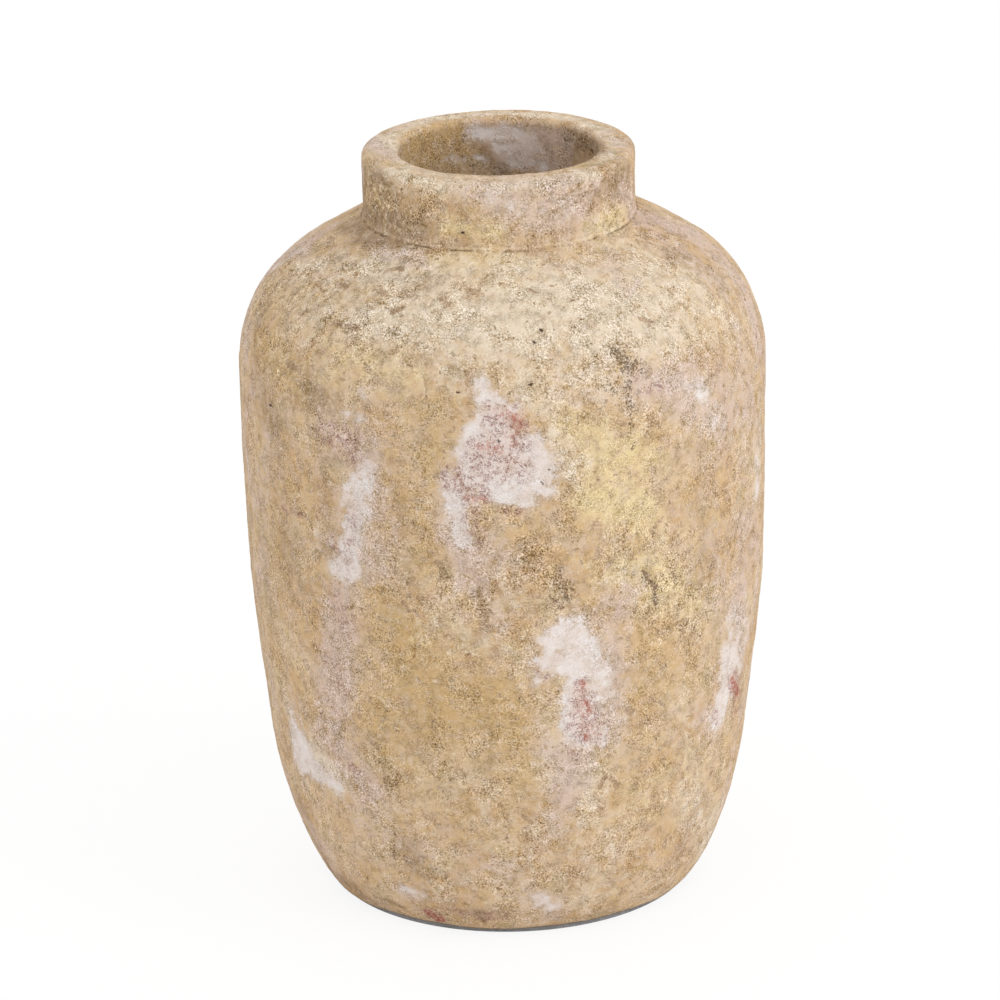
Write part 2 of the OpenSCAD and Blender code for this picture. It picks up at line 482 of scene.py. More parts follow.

# %% [markdown]
# ## Where the coat is worn
# On the real vase each kind of wear has its own look. Lime is the smooth white ground laid bare.
# Clay is the pink body showing through the lime. Haze is lime dust wiped thin over the earth. The
# earth itself runs from cream and straw through ochre to umber. Crust is where it stands up in
# crumbs, chips are pale splashes on it, and a scar is a place where a flake has come off. Soot is a
# scatter of dark crumbs, and pits are small holes. Some strokes also hold painted light and shade:
# a sheen in haze and cream along the edges, a highlight in cream round the lip, and shade in umber
# under the collar and low in the bore.
#
# A stroke is a soft brush mark: its path is given in pixels of the photograph, and a ray from the
# camera carries each point to the vase. So the mark lies on the surface itself, and it keeps its real
# width in millimetres seen from any side. Texture painting could do this too, but in a list every
# stroke can be read, moved or made weaker by itself.

# %% Finding a place on the vase
frame_middle = photo_side_px / 2
slide_limit_px = 24
seen_trees = [BVHTree.FromObject(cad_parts[node], bpy.context.evaluated_depsgraph_get())
              for node in ("body_coat", "neck_coat")]


def seen_at(px, py):
    """The point of the vase that the camera sees at a pixel of the photograph.

    A pixel just outside the edge slides towards the middle until it meets the vase.
    """
    for slide in range(slide_limit_px):
        moved = px + slide * (1 if px < frame_middle else -1)
        ray = (view_forward + view_right * (moved - frame_middle) / focal_length_px
               + view_up * (frame_middle - py) / focal_length_px)
        hits = [tree.ray_cast(camera_place, ray.normalized()) for tree in seen_trees]
        found = [(hit[3], hit[0]) for hit in hits if hit[0] is not None]
        if found:
            return min(found)[1]
    raise ValueError(f"no part of the vase is seen near {px}, {py}")


def body_at(turn_degrees, height):
    """A point on the body's face by its turn from the front and its height in metres."""
    radius = np.interp(height, body_line[:, 1], body_line[:, 0])
    turn = math.radians(turn_degrees)
    return Vector((radius * math.sin(turn), -radius * math.cos(turn), height))


print("front of the belly:", [round(x, 3) for x in seen_at(500, 500)])

# %% [markdown]
# The strokes, finish by finish. Each one holds its path in pixels of the photograph, its half
# width in millimetres and its strength.

# %% White lime ground
strokes = []


def paint(finish, *marks):
    """Adds strokes of one finish, each as its path's pixels, its half width in mm and its strength."""
    for *path, half_width, strength in marks:
        strokes.append((finish, [seen_at(px, py) for px, py in path], half_width * mm, strength))


paint(
    "lime",
    # The bare patch at the middle: its tip, its crazed top, its smooth right side and its tail.
    ((480, 384), (484, 396), 3.4, 0.85), ((486, 400), (484, 420), (478, 436), 4.5, 0.85),
    ((500, 404), (514, 408), 4.0, 0.6), ((470, 428), (478, 446), 3.4, 0.9),
    ((466, 446), (467, 468), 3.0, 1.0), ((496, 424), (510, 446), 7.0, 0.8),
    ((486, 456), (500, 480), 8.0, 0.85), ((532, 446), (540, 462), 6.5, 0.95),
    ((536, 470), (520, 488), 8.0, 1.05), ((490, 492), (524, 494), 4.0, 1.05),
    ((546, 486), (550, 492), 3.5, 0.6), ((452, 480), (464, 494), 6.5, 0.75),
    ((464, 452), (472, 464), 4.5, 0.85), ((474, 480), (492, 486), 5.0, 0.8),
    ((447, 486), (450, 500), 3.0, 0.85), ((455, 506), (460, 524), (463, 540), 4.2, 0.95),
    # The long streak at the left.
    ((366, 464), (368, 490), 3.4, 0.95), ((356, 482), (360, 506), 5.0, 1.0),
    ((346, 490), (344, 500), 3.6, 0.6), ((356, 512), (352, 530), 4.5, 0.85),
    ((350, 528), (350, 552), 6.0, 0.8), ((346, 556), (346, 566), 6.0, 0.75),
    ((334, 570), (346, 576), (356, 570), 4.0, 0.85), ((318, 532), (326, 538), 3.5, 0.4),
    ((361, 387), (363, 396), 2.4, 0.5), ((345, 414), (360, 418), 3.6, 0.5),
    # The lower patch, right of the middle.
    ((562, 622), (582, 620), 4.5, 0.6), ((562, 634), (574, 640), 6.0, 1.05),
    ((578, 634), (588, 646), 4.5, 0.55), ((544, 640), (548, 646), 3.4, 0.8),
    ((540, 662), (548, 672), (538, 678), 4.5, 0.65), ((556, 656), (572, 662), 4.5, 0.75),
    ((578, 660), (600, 672), 5.5, 0.7), ((576, 678), (572, 692), 4.5, 0.9),
    ((570, 706), (567, 724), (572, 734), 4.5, 0.95), ((584, 700), (586, 728), 6.5, 0.95),
    ((592, 652), (604, 690), (604, 730), 6.0, 0.42), ((562, 666), (594, 668), 5.0, 0.7),
    ((578, 742), (602, 742), 3.0, 0.85),
    # The patch at the right edge.
    ((731, 618), (734, 654), 7.5, 0.55), ((744, 604), (746, 640), 7.0, 0.4),
    ((728, 660), (725, 690), (718, 714), 8.0, 1.1), ((736, 664), (740, 672), 5.0, 0.5),
    ((757, 456), (756, 496), 5.0, 0.6),
    # The streak at the lower left.
    ((291, 712), (294, 732), 5.0, 0.4), ((298, 740), (300, 762), 8.0, 0.95),
    ((308, 756), (314, 768), 6.5, 0.9), ((314, 768), (338, 786), 5.0, 0.85),
    ((405, 890), (418, 895), 4.0, 0.6),
    # Thin places high up.
    ((660, 382), (704, 392), 4.5, 0.5), ((704, 392), (718, 424), 6.0, 0.42),
    ((500, 448), (512, 458), 6.0, 0.45), ((268, 270), (300, 250), 3.2, 0.5),
    ((474, 132), (500, 132), 4.0, 0.85), ((504, 130), (530, 138), 4.0, 0.9),
    ((500, 148), (538, 150), 3.4, 0.75), ((512, 162), (546, 164), 3.6, 0.7),
    ((446, 160), (462, 162), 2.4, 0.6), ((474, 157), (486, 160), 1.8, 0.6),
    ((512, 198), (580, 214), 9.0, 0.25), ((372, 250), (404, 256), 2.6, 0.35),
    ((488, 198), (510, 208), 4.0, 0.4), ((538, 898), (552, 908), 5.0, 0.7),
)

# %% Pink clay showing through
paint(
    "clay",
    ((494, 414), (510, 416), 4.0, 0.75), ((512, 416), (519, 424), 3.0, 1.0),
    ((510, 428), (514, 444), 5.5, 0.85), ((490, 406), (490, 422), 4.0, 0.35),
    ((478, 447), (498, 450), 4.0, 1.0), ((486, 462), (514, 468), 9.0, 0.5),
    ((452, 478), (472, 492), 6.0, 0.7), ((462, 498), (486, 499), 1.5, 0.95),
    ((466, 508), (478, 540), 5.0, 0.35), ((502, 513), (522, 513), 3.2, 0.5),
    ((582, 683), (584, 686), 1.7, 1.8), ((586, 702), (587, 704), 1.4, 1.6),
    ((589, 709), (590, 712), 1.8, 1.7), ((584, 736), (586, 740), 1.6, 1.4),
    ((580, 690), (586, 704), 4.5, 0.7), ((578, 708), (592, 724), 6.0, 0.75),
    ((574, 728), (598, 736), 4.5, 0.75), ((540, 668), (546, 676), 4.0, 0.35),
    ((560, 752), (590, 762), 4.5, 0.25), ((732, 680), (736, 693), 5.0, 1.2),
    ((737, 704), (734, 712), 5.0, 0.5), ((352, 512), (348, 566), 5.0, 0.3),
    ((714, 714), (718, 722), 2.4, 0.6), ((324, 430), (356, 438), 8.0, 0.35),
    ((340, 450), (354, 464), 6.0, 0.3), ((328, 650), (344, 690), 8.0, 0.2),
    ((460, 912), (500, 916), 4.0, 0.5), ((330, 540), (336, 548), 3.0, 0.5),
    ((334, 596), (350, 630), 7.0, 0.3), ((284, 507), (305, 516), 2.0, 0.5),
    ((430, 914), (440, 919), 3.0, 2.2), ((352, 766), (358, 770), 2.0, 0.6),
    ((650, 388), (668, 384), 3.0, 0.4),
)

# %% Lime dust wiped thin, with painted sheen along the edges
paint(
    "haze",
    # Most of these strokes are lime dust. Those that run along the left and right edges are partly lime
    # dust and partly painted sheen where the coat turns away.
    ((330, 430), (356, 446), 11, 0.6), ((342, 590), (338, 640), (332, 700), 10, 0.75),
    ((358, 450), (366, 470), 8, 0.5), ((352, 510), (350, 560), 9, 0.5), ((456, 540), (470, 572), 8, 0.8),
    ((488, 548), (510, 556), 8, 0.6), ((476, 580), (500, 620), 11, 0.45),
    ((572, 750), (568, 790), 9, 0.7), ((446, 500), (450, 530), 7, 0.5), ((564, 386), (580, 396), 9, 0.3),
    ((562, 800), (560, 830), 7, 0.6), ((606, 606), (636, 588), 10, 0.5),
    ((618, 640), (624, 604), 8, 0.45), ((640, 384), (690, 384), 12, 0.75),
    ((690, 400), (720, 430), 12, 0.6), ((712, 540), (722, 600), 8, 0.5),
    ((738, 600), (740, 660), 9, 0.8), ((752, 310), (759, 356), 8, 0.6),
    ((748, 392), (760, 436), 8, 0.55), ((750, 512), (756, 550), 8, 0.6),
    ((720, 366), (732, 410), 10, 0.6), ((744, 690), (728, 780), 7, 0.4),
    ((690, 230), (740, 280), 9, 0.7), ((640, 216), (690, 236), 8, 0.6),
    ((560, 660), (600, 690), 12, 0.5), ((700, 716), (716, 730), 7, 0.6),
    ((330, 740), (372, 790), 12, 0.75), ((340, 640), (338, 704), 10, 0.6),
    ((276, 780), (330, 860), 12, 0.6), ((600, 640), (610, 740), 9, 0.4),
    ((290, 700), (300, 750), 9, 0.5), ((360, 820), (420, 850), 10, 0.4),
    ((470, 856), (510, 870), 6, 0.55), ((404, 890), (416, 895), 5, 0.8),
    ((530, 896), (552, 914), 8, 0.6), ((480, 190), (580, 210), 12, 0.6),
    ((520, 224), (560, 226), 7, 0.5), ((380, 252), (420, 262), 7, 0.6), ((243, 306), (247, 350), 9, 0.6),
    ((254, 384), (244, 428), 8, 0.5), ((246, 456), (256, 500), 8, 0.6), ((264, 548), (257, 596), 7, 0.5),
    ((268, 664), (274, 700), 8, 0.5), ((376, 440), (374, 500), 6, 0.4), ((612, 660), (614, 730), 6, 0.5),
    ((530, 690), (545, 740), 5, 0.3), ((560, 186), (632, 200), 8, 0.5), ((262, 256), (306, 250), 9, 0.6),
    ((250, 292), (274, 262), (322, 232), 9, 0.7), ((664, 240), (716, 284), 10, 0.5),
    ((668, 226), (730, 272), (752, 312), 8, 0.6), ((735, 330), (744, 470), 9, 0.45),
    ((765, 344), (764, 384), 6, 0.6), ((765, 436), (764, 480), 6, 0.6),
    ((757, 572), (752, 616), 7, 0.55), ((752, 664), (744, 706), 7, 0.55),
    ((636, 210), (690, 232), 6, 0.6), ((730, 790), (712, 840), 8, 0.5), ((614, 264), (628, 284), 8, 0.5),
    ((476, 132), (562, 140), 7, 0.9), ((508, 158), (562, 162), 7, 0.8), ((624, 186), (632, 214), 6, 0.5),
    ((752, 316), (760, 346), 7, 0.5), ((364, 136), (362, 170), 5, 0.6), ((629, 140), (634, 196), 4, 0.6),
    ((380, 504), (392, 528), 9, 0.5), ((268, 440), (262, 500), 8, 0.45),
    ((740, 520), (742, 590), 9, 0.6), ((376, 552), (384, 570), 7, 0.5), ((548, 752), (580, 776), 8, 0.4),
    ((360, 540), (368, 572), 6, 0.5), ((370, 142), (398, 158), 6, 0.8), ((388, 130), (404, 122), 4, 0.6),
    ((606, 132), (622, 146), 5, 0.5),
)

# %% Pale cream earth, with painted highlight on the lip and painted sheen at the right edge
paint(
    "cream",
    ((560, 290), (650, 310), 24, 0.6), ((620, 250), (700, 290), 20, 0.45),
    ((600, 340), (660, 350), 14, 0.5), ((440, 292), (560, 300), 16, 0.45),
    ((320, 300), (430, 320), 14, 0.3), ((470, 350), (600, 352), 14, 0.35),
    ((520, 390), (540, 410), 8, 0.5), ((376, 322), (440, 326), (520, 330), 12, 0.55),
    ((310, 266), (400, 272), 11, 0.6), ((380, 756), (460, 770), 12, 0.25),
    ((500, 570), (516, 586), 9, 0.35), ((620, 570), (646, 584), 9, 0.3),
    ((440, 630), (520, 646), 14, 0.25), ((690, 410), (716, 420), 8, 0.5),
    ((490, 800), (600, 830), 18, 0.2), ((600, 890), (660, 880), 14, 0.25),
    ((442, 376), (456, 386), 8, 0.4), ((378, 262), (398, 270), 9, 0.6),
    ((560, 284), (640, 276), (700, 290), 4, 0.5), ((560, 312), (650, 304), (735, 322), 4, 0.5),
    # The stroke at (768, 396) to (766, 440) runs along the right edge: partly pale earth, partly painted
    # sheen.
    ((600, 336), (680, 330), (745, 346), 4, 0.45), ((768, 396), (766, 440), 7, 0.5),
    ((722, 800), (704, 848), 9, 0.6), ((600, 300), (644, 302), 10, 0.5),
    ((488, 330), (512, 332), 9, 0.4), ((500, 448), (508, 456), 7, 0.3),
    ((440, 832), (600, 846), 24, 0.2), ((440, 884), (590, 892), 12, 0.3),
    ((310, 322), (520, 334), 16, 0.3), ((390, 264), (520, 270), 10, 0.4),
    ((556, 442), (574, 470), 8, 0.6), ((562, 752), (584, 774), 10, 0.9),
    ((316, 754), (334, 776), 10, 0.9), ((562, 386), (640, 396), 9, 0.4),
    ((690, 800), (706, 840), 12, 0.5), ((560, 780), (590, 800), 10, 0.4),
    # The stroke at (748, 310) to (756, 500) runs along the right edge: partly pale earth, partly painted
    # sheen.
    ((748, 310), (756, 500), 8, 0.4), ((680, 700), (700, 760), 14, 0.25),
    # These strokes follow the lip's rounded edges: partly paler earth, partly painted highlight on the
    # rounds.
    ((388, 172), (430, 184), (500, 189), (560, 184), (596, 174), 4, 0.8),
    ((372, 136), (394, 150), 8, 0.7),
    ((384, 146), (392, 132), (430, 118), (500, 112), (570, 117), (604, 130), (618, 146), 5, 0.7),
    ((384, 152), (410, 167), (450, 175), (500, 178), (550, 175), (590, 167), (614, 152), 4, 0.5),
    ((604, 640), (614, 740), 8, 0.5),
)

# %% Yellow straw-coloured earth
paint(
    "straw",
    ((566, 430), (630, 450), 12, 0.6), ((590, 500), (636, 508), 9, 0.9),
    ((600, 474), (646, 460), 12, 0.45), ((430, 262), (530, 264), 7, 0.7),
    ((450, 226), (500, 230), 5, 0.7), ((592, 228), (626, 212), 6, 0.85),
    ((480, 280), (545, 330), 12, 0.3), ((556, 674), (566, 682), 3, 0.7),
    ((650, 560), (690, 600), 12, 0.4), ((330, 350), (420, 372), 13, 0.4),
    ((740, 420), (752, 480), 8, 0.3), ((650, 592), (672, 606), 9, 0.35),
    ((626, 572), (646, 584), 8, 0.5), ((640, 800), (680, 760), 14, 0.3),
    ((600, 570), (640, 590), 12, 0.35), ((430, 640), (520, 640), 14, 0.25),
    ((496, 572), (520, 600), 10, 0.25), ((628, 508), (644, 524), 9, 0.5),
)

# %% Deep ochre earth
paint(
    "ochre",
    ((418, 410), (460, 442), 12, 0.6), ((690, 320), (730, 345), 12, 0.55),
    ((430, 460), (440, 480), 8, 0.7), ((410, 500), (430, 560), 10, 0.6),
    ((400, 640), (440, 720), 17, 0.7), ((380, 600), (420, 660), 12, 0.5),
    ((440, 690), (520, 700), 14, 0.55), ((500, 700), (520, 780), 14, 0.65),
    ((370, 690), (390, 780), 14, 0.4), ((636, 630), (664, 660), 12, 0.45),
    ((440, 760), (480, 840), 16, 0.45), ((620, 720), (680, 680), 16, 0.45),
    ((600, 780), (660, 820), 14, 0.4), ((262, 340), (290, 372), 12, 0.75),
    ((258, 420), (280, 560), 12, 0.45), ((260, 600), (290, 680), 12, 0.4),
    ((300, 380), (310, 420), 8, 0.4), ((408, 140), (462, 132), 9, 1.0),
    ((290, 300), (404, 304), 13, 0.4), ((510, 376), (530, 386), 8, 0.5),
    ((622, 450), (650, 458), 9, 0.5), ((300, 490), (306, 512), 10, 0.3),
    ((696, 264), (704, 272), 9, 0.4), ((626, 636), (646, 644), 9, 0.3),
    ((366, 190), (398, 206), 10, 0.5), ((416, 156), (460, 158), 9, 0.9),
    ((590, 200), (616, 214), 7, 0.4), ((430, 232), (520, 240), 5, 0.5), ((540, 470), (600, 540), 8, 0.4),
    ((380, 720), (400, 780), 12, 0.4),
)

# %% Brown umber earth, with painted shade at the collar's foot and low in the bore
paint(
    "umber",
    # The stroke at (362, 206) to (396, 222) is partly brown earth, partly painted shade at the collar's
    # foot.
    ((360, 176), (384, 192), 9, 1.0), ((362, 206), (396, 222), 10, 1.0),
    ((384, 204), (404, 212), 6, 0.5), ((398, 228), (430, 232), 5, 0.8), ((602, 190), (628, 174), 8, 0.8),
    ((752, 300), (760, 400), 9, 0.35), ((560, 474), (584, 500), 6, 0.5),
    ((326, 466), (330, 552), 6, 0.5), ((404, 690), (424, 740), 10, 0.4),
    ((312, 718), (350, 722), 5, 0.45), ((394, 850), (424, 868), 8, 0.5),
    ((372, 742), (392, 790), 6, 0.4), ((452, 906), (506, 914), 6, 0.5),
    ((424, 490), (432, 504), 6, 0.25), ((676, 258), (712, 276), 10, 0.7),
    ((248, 310), (240, 380), 7, 0.4), ((240, 420), (244, 490), 7, 0.35),
    ((250, 520), (252, 590), 7, 0.4), ((256, 620), (266, 712), 7, 0.45),
    ((488, 700), (491, 780), 3.5, 0.6), ((400, 540), (412, 590), 8, 0.35),
    ((545, 654), (560, 650), (572, 646), 0.8, 0.9), ((546, 266), (590, 272), (640, 268), 2.0, 0.6),
    # The strokes at (340, 226) to (366, 244) and at (352, 228) to (400, 248) are painted shade under the
    # collar's foot.
    ((340, 226), (366, 244), 4.0, 0.6), ((480, 590), (486, 628), 3.4, 0.6),
    ((352, 228), (374, 240), (400, 248), 3.0, 0.8), ((470, 640), (490, 700), 7, 0.35),
    ((676, 576), (700, 600), 7, 0.3), ((618, 672), (648, 672), 4, 0.4),
    ((262, 320), (270, 420), 14, 0.55), ((276, 430), (292, 560), 12, 0.35),
    ((306, 384), (330, 408), 9, 0.65), ((392, 580), (398, 640), 7, 0.3),
    ((300, 800), (330, 870), 9, 0.55), ((330, 876), (380, 906), 7, 0.5),
    ((327, 866), (344, 878), 2.6, 0.9), ((346, 882), (358, 889), 3.0, 0.8),
    ((386, 901), (402, 908), 3.0, 0.8), ((482, 912), (484, 920), 2.2, 1.1),
    ((388, 772), (392, 792), 2.6, 0.7), ((404, 844), (416, 856), 4.0, 0.7),
    ((520, 866), (560, 880), 8, 0.2), ((700, 800), (680, 850), 8, 0.45),
    ((286, 362), (314, 402), 6, 0.5), ((570, 142), (598, 152), 7, 1.0),
    ((262, 536), (270, 612), 10, 0.5), ((286, 546), (296, 590), 10, 0.4),
    ((690, 444), (704, 462), 10, 0.3), ((690, 570), (702, 586), 10, 0.3),
    # The strokes at (446, 156) to (500, 154), (568, 160) to (586, 160), (490, 146) to (504, 168) and
    # (402, 168) to (500, 176) lie low in the bore: partly brown earth, partly painted shade.
    ((690, 322), (704, 336), 9, 0.35), ((446, 156), (500, 154), 7, 1.3),
    ((568, 160), (586, 160), 5, 0.7), ((490, 146), (504, 168), 4, 0.8),
    ((402, 168), (500, 176), 3.0, 0.6), ((696, 500), (716, 560), 8, 0.4),
    ((390, 460), (400, 520), 8, 0.3),
)

# %% Pale chips, flake scars, grey soot, crumbly crust, pits and dents
paint(
    "chips",
    ((372, 190), (400, 220), 10, 0.9), ((410, 190), (470, 210), 10, 0.8),
    ((290, 270), (420, 300), 18, 0.6), ((430, 270), (520, 300), 12, 0.6),
    ((600, 250), (720, 300), 16, 0.5), ((640, 560), (700, 620), 12, 0.6),
    ((280, 360), (330, 400), 9, 0.6), ((330, 420), (380, 460), 8, 0.6), ((540, 700), (560, 730), 6, 0.5),
    ((520, 560), (570, 600), 10, 0.5),
)
paint(
    "scar",
    ((339, 285), (346, 288), 2.2, 1.1), ((380, 290), (386, 294), 1.8, 1.0),
    ((336, 322), (342, 324), 1.6, 1.0), ((350, 326), (356, 329), 2.2, 1.0),
    ((388, 270), (400, 268), 2.0, 1.0), ((394, 313), (402, 309), 2.0, 0.9),
    ((322, 286), (324, 292), 1.4, 0.9), ((468, 290), (482, 296), 2.2, 0.9),
    ((440, 300), (450, 306), 1.8, 0.8), ((264, 312), (262, 326), 2.0, 0.9),
    ((288, 362), (300, 372), 2.2, 0.9), ((640, 318), (648, 322), 2.0, 0.8),
    ((563, 580), (566, 596), (570, 608), 1.3, 1.1), ((555, 600), (562, 607), 1.1, 1.0),
    ((646, 574), (651, 582), (656, 587), 1.2, 1.1), ((655, 588), (657, 604), 1.3, 1.0),
    ((672, 572), (677, 580), 1.0, 0.9), ((700, 560), (704, 574), 0.9, 0.9),
    ((479, 592), (482, 606), (487, 620), 1.5, 1.0), ((437, 562), (444, 571), (440, 580), 1.3, 1.0),
    ((404, 602), (410, 612), 1.1, 0.9), ((414, 610), (420, 617), 1.0, 0.8),
    ((372, 742), (378, 748), 1.4, 0.9), ((384, 770), (388, 790), 1.3, 0.8),
    ((404, 844), (412, 852), 1.6, 0.9), ((524, 816), (532, 822), 1.6, 0.9),
    ((600, 788), (606, 776), 1.4, 0.9), ((628, 711), (631, 713), 2.4, 1.0),
    ((658, 702), (662, 704), 1.8, 0.7), ((612, 780), (618, 788), 2.0, 0.8),
)
paint(
    "soot",
    ((614, 354), (628, 366), 5.0, 0.9), ((634, 362), (642, 370), 5.0, 0.6),
    ((606, 380), (626, 404), 7.0, 0.45), ((627, 384), (630, 410), (631, 442), 2.2, 0.75),
    ((633, 446), (633, 449), 1.2, 1.0), ((484, 416), (510, 424), 6.0, 0.3),
    ((478, 448), (506, 470), 8.0, 0.3), ((456, 476), (476, 490), 5.0, 0.35),
    ((530, 470), (548, 480), 5.0, 0.2), ((568, 136), (592, 150), 7.0, 0.6),
    ((470, 164), (500, 168), 3.0, 0.6), ((300, 380), (314, 396), 4.0, 0.4),
    ((642, 574), (649, 582), (656, 587), (657, 604), 2.4, 0.75),
    ((559, 570), (564, 582), (566, 598), 3.4, 0.75), ((548, 596), (560, 606), 2.4, 0.6),
    ((604, 388), (612, 392), 3.0, 0.6), ((386, 131), (396, 130), 3.0, 0.6),
    ((500, 117), (528, 120), 3.0, 0.55),
)
paint(
    "crust",
    ((528, 560), (560, 590), 13, 0.8), ((560, 480), (580, 530), 7, 0.5),
    ((640, 560), (690, 620), 14, 1.0), ((436, 560), (448, 578), 5, 0.9),
    ((478, 590), (486, 624), 5, 0.8), ((600, 700), (680, 780), 16, 0.2),
    ((400, 320), (460, 370), 14, 0.5), ((660, 240), (720, 290), 14, 0.4),
    ((270, 290), (380, 330), 18, 1.0), ((290, 262), (420, 276), 12, 0.95),
    ((372, 190), (440, 216), 12, 1.0), ((560, 190), (630, 200), 12, 0.7),
    ((430, 290), (560, 310), 16, 0.5), ((560, 144), (600, 150), 6, 0.8),
    ((600, 370), (640, 410), 9, 0.5), ((440, 740), (520, 820), 16, 0.2),
    ((400, 860), (560, 880), 10, 0.25), ((312, 718), (352, 724), 6, 0.7),
    ((370, 738), (400, 790), 8, 0.6), ((392, 842), (424, 866), 8, 0.5), ((280, 360), (310, 400), 9, 0.5),
)
paint(
    "pit",
    ((530, 385), (532, 384), 0.8, 1.2), ((457, 392), (459, 392), 0.8, 1.0),
    ((540, 329), (542, 331), 1.0, 1.1), ((534, 342), (535, 344), 0.9, 1.0),
    ((497, 441), (499, 442), 0.9, 1.0), ((541, 482), (543, 484), 0.9, 0.7),
    ((548, 470), (550, 470), 0.9, 0.7), ((491, 516), (493, 522), 1.1, 0.7),
    ((269, 405), (271, 406), 0.9, 1.0), ((590, 150), (592, 152), 1.0, 0.9),
    ((425, 384), (426, 399), 0.6, 0.8), ((642, 574), (649, 582), (656, 587), 0.8, 0.62),
    ((656, 588), (657, 604), 0.8, 0.6), ((559, 572), (564, 582), (566, 596), 0.8, 0.6),
    ((462, 233), (464, 233), 0.8, 0.85), ((386, 131), (396, 130), 0.8, 0.6),
    ((500, 118), (508, 120), 0.8, 0.6), ((520, 117), (526, 121), 0.8, 0.6),
    ((572, 134), (575, 137), 0.8, 0.7), ((580, 150), (583, 152), 0.8, 0.7),
    ((699, 572), (704, 586), (710, 612), 0.6, 0.6), ((684, 570), (690, 590), 0.6, 0.5),
    ((702, 500), (708, 540), 0.6, 0.6), ((398, 357), (412, 349), (423, 343), 0.5, 0.7),
)
paint(
    "dented",
    ((306, 834), (322, 862), 15, 1.0), ((278, 262), (294, 250), 16, 1.0),
)
print(len(strokes), "strokes placed on the photograph's side")

# %% [markdown]
# The photograph shows one side. The other side of a real vase has had the same life, so it gets
# worn spots of the same make: a bare patch made of a few blobs, a drip below it, clay in its
# middle and haze round about. Dark and pale earth, crust, scars and pits lie between them. Their
# places come from a seeded random generator, so they are the same every time.

# %% Marks on the unseen side
spread = random.Random(41)
turn_from, turn_to = 98, 262
lowest_mark, highest_mark = 30 * mm, 350 * mm
highest_end = 360 * mm


def mark_behind(finish, turn, height, across, up, half_width, strength):
    """Adds one stroke on the unseen side, from a place to a little beside and above it."""
    ends = [body_at(turn, height), body_at(turn + across, min(height + up * mm, highest_end))]
    strokes.append((finish, ends, half_width * mm, strength))


def mark_near(finish, spot, turn_spread, height_spread, across, up, half_width, strength):
    """Adds one stroke of a worn spot, near its middle. All but its strength grow with the spot."""
    turn, height, size = spot
    mark_behind(finish, turn + spread.gauss(0, turn_spread * size),
                height + spread.gauss(0, height_spread * size), spread.uniform(*across) * size,
                spread.uniform(*up) * size, spread.uniform(*half_width) * size,
                spread.uniform(*strength))


def drawn(limits):
    """A random value between two limits, or the value itself where only one is given."""
    return spread.uniform(*limits) if isinstance(limits, tuple) else limits


# %% Worn spots on the unseen side
worn_spots_behind = 7
spot_heights = (0.1, 0.17, 0.25, 0.3)
spot_spacing = (turn_to - turn_from) / worn_spots_behind
drip_below = 34 * mm
drip_length = 20
haze_below = 50 * mm
haze_length = 44
haze_half_width = 11
haze_strength = 0.7
for number in range(worn_spots_behind):
    turn = turn_from + (number + spread.uniform(0.2, 0.8)) * spot_spacing
    height = spread.choice(spot_heights) + spread.uniform(-0.02, 0.02)
    size = spread.uniform(0.6, 1.5)
    spot = (turn, height, size)
    for blob in range(spread.randint(4, 7)):
        mark_near("lime", spot, turn_spread=3.2, height_spread=11 * mm, across=(-3, 3), up=(-8, 12),
                  half_width=(2.5, 6.5), strength=(0.5, 1.05))
    mark_behind("lime", turn + spread.uniform(-4, 4) * size, height - drip_below * size,
                spread.uniform(-1, 1), drip_length * size, spread.uniform(2.5, 4) * size,
                spread.uniform(0.5, 0.95))
    for stain in range(2):
        mark_near("clay", spot, turn_spread=2.5, height_spread=8 * mm, across=(-2, 3), up=(0, 8),
                  half_width=(3, 6), strength=(0.5, 0.95))
    mark_behind("haze", turn, height - haze_below * size, spread.uniform(-3, 3), haze_length * size,
                haze_half_width * size, haze_strength)

# %% Single marks on the unseen side
earths = ("cream", "cream", "straw", "ochre", "umber", "haze", "haze")
scatters = (
    # How many, of which finishes, then across in degrees, up and half width in mm, and strength.
    (60, earths, (-9, 9), (0, 30), (7, 18), (0.35, 0.75)),
    (14, ("crust",), (-6, 6), (5, 25), (7, 14), (0.4, 0.9)),
    (26, ("scar",), (-1.5, 1.5), (0, 3), (1.2, 2.6), (0.8, 1.1)),
    (14, ("pit",), 0.3, (0, 1), (0.6, 1.0), (0.8, 1.1)),
)
for count, choices, *ranges in scatters:
    for number in range(count):
        finish = spread.choice(choices) if len(choices) > 1 else choices[0]
        turn = spread.uniform(turn_from, turn_to)
        height = spread.uniform(lowest_mark, highest_mark)
        mark_behind(finish, turn, height, *[drawn(limits) for limits in ranges])
print(len(strokes), "strokes in all")

# %% [markdown]
# Each finish becomes a number on every point of the skins: 1 along a stroke's middle, a half at
# its half width, and next to nothing at twice that. Strokes that meet add up like thin washes. The
# random direction kept by the lathe bends each stroke, the more the wider it is, so that nothing
# looks drawn with a pen. A picture wrapped round the vase could hold the same, but the skins have a
# point about every millimetre, which is fine enough for soft washes and needs no unwrapping.

# %% Painting the skins
finishes = ("lime", "clay", "haze", "cream", "straw", "ochre", "umber", "chips", "scar", "soot", "crust",
            "pit", "dented")
reach_in_widths = 2.6
wander_share = 2.6
widest_wander = 7 * mm


def fade(points, path, half_width):
    """How close each point is to a path: 1 on it, a half at the half width."""
    nearest = np.full(len(points), np.inf)
    for start, end in zip(path[:-1], path[1:]):
        start, end = np.array(start), np.array(end)
        way = end - start
        share = np.clip((points - start) @ way / max(way @ way, nearly_nothing), 0, 1)
        gap = np.linalg.norm(points - start - share[:, None] * way, axis=1)
        nearest = np.minimum(nearest, gap)
    return np.exp(-math.log(2) * (nearest / half_width) ** 2)


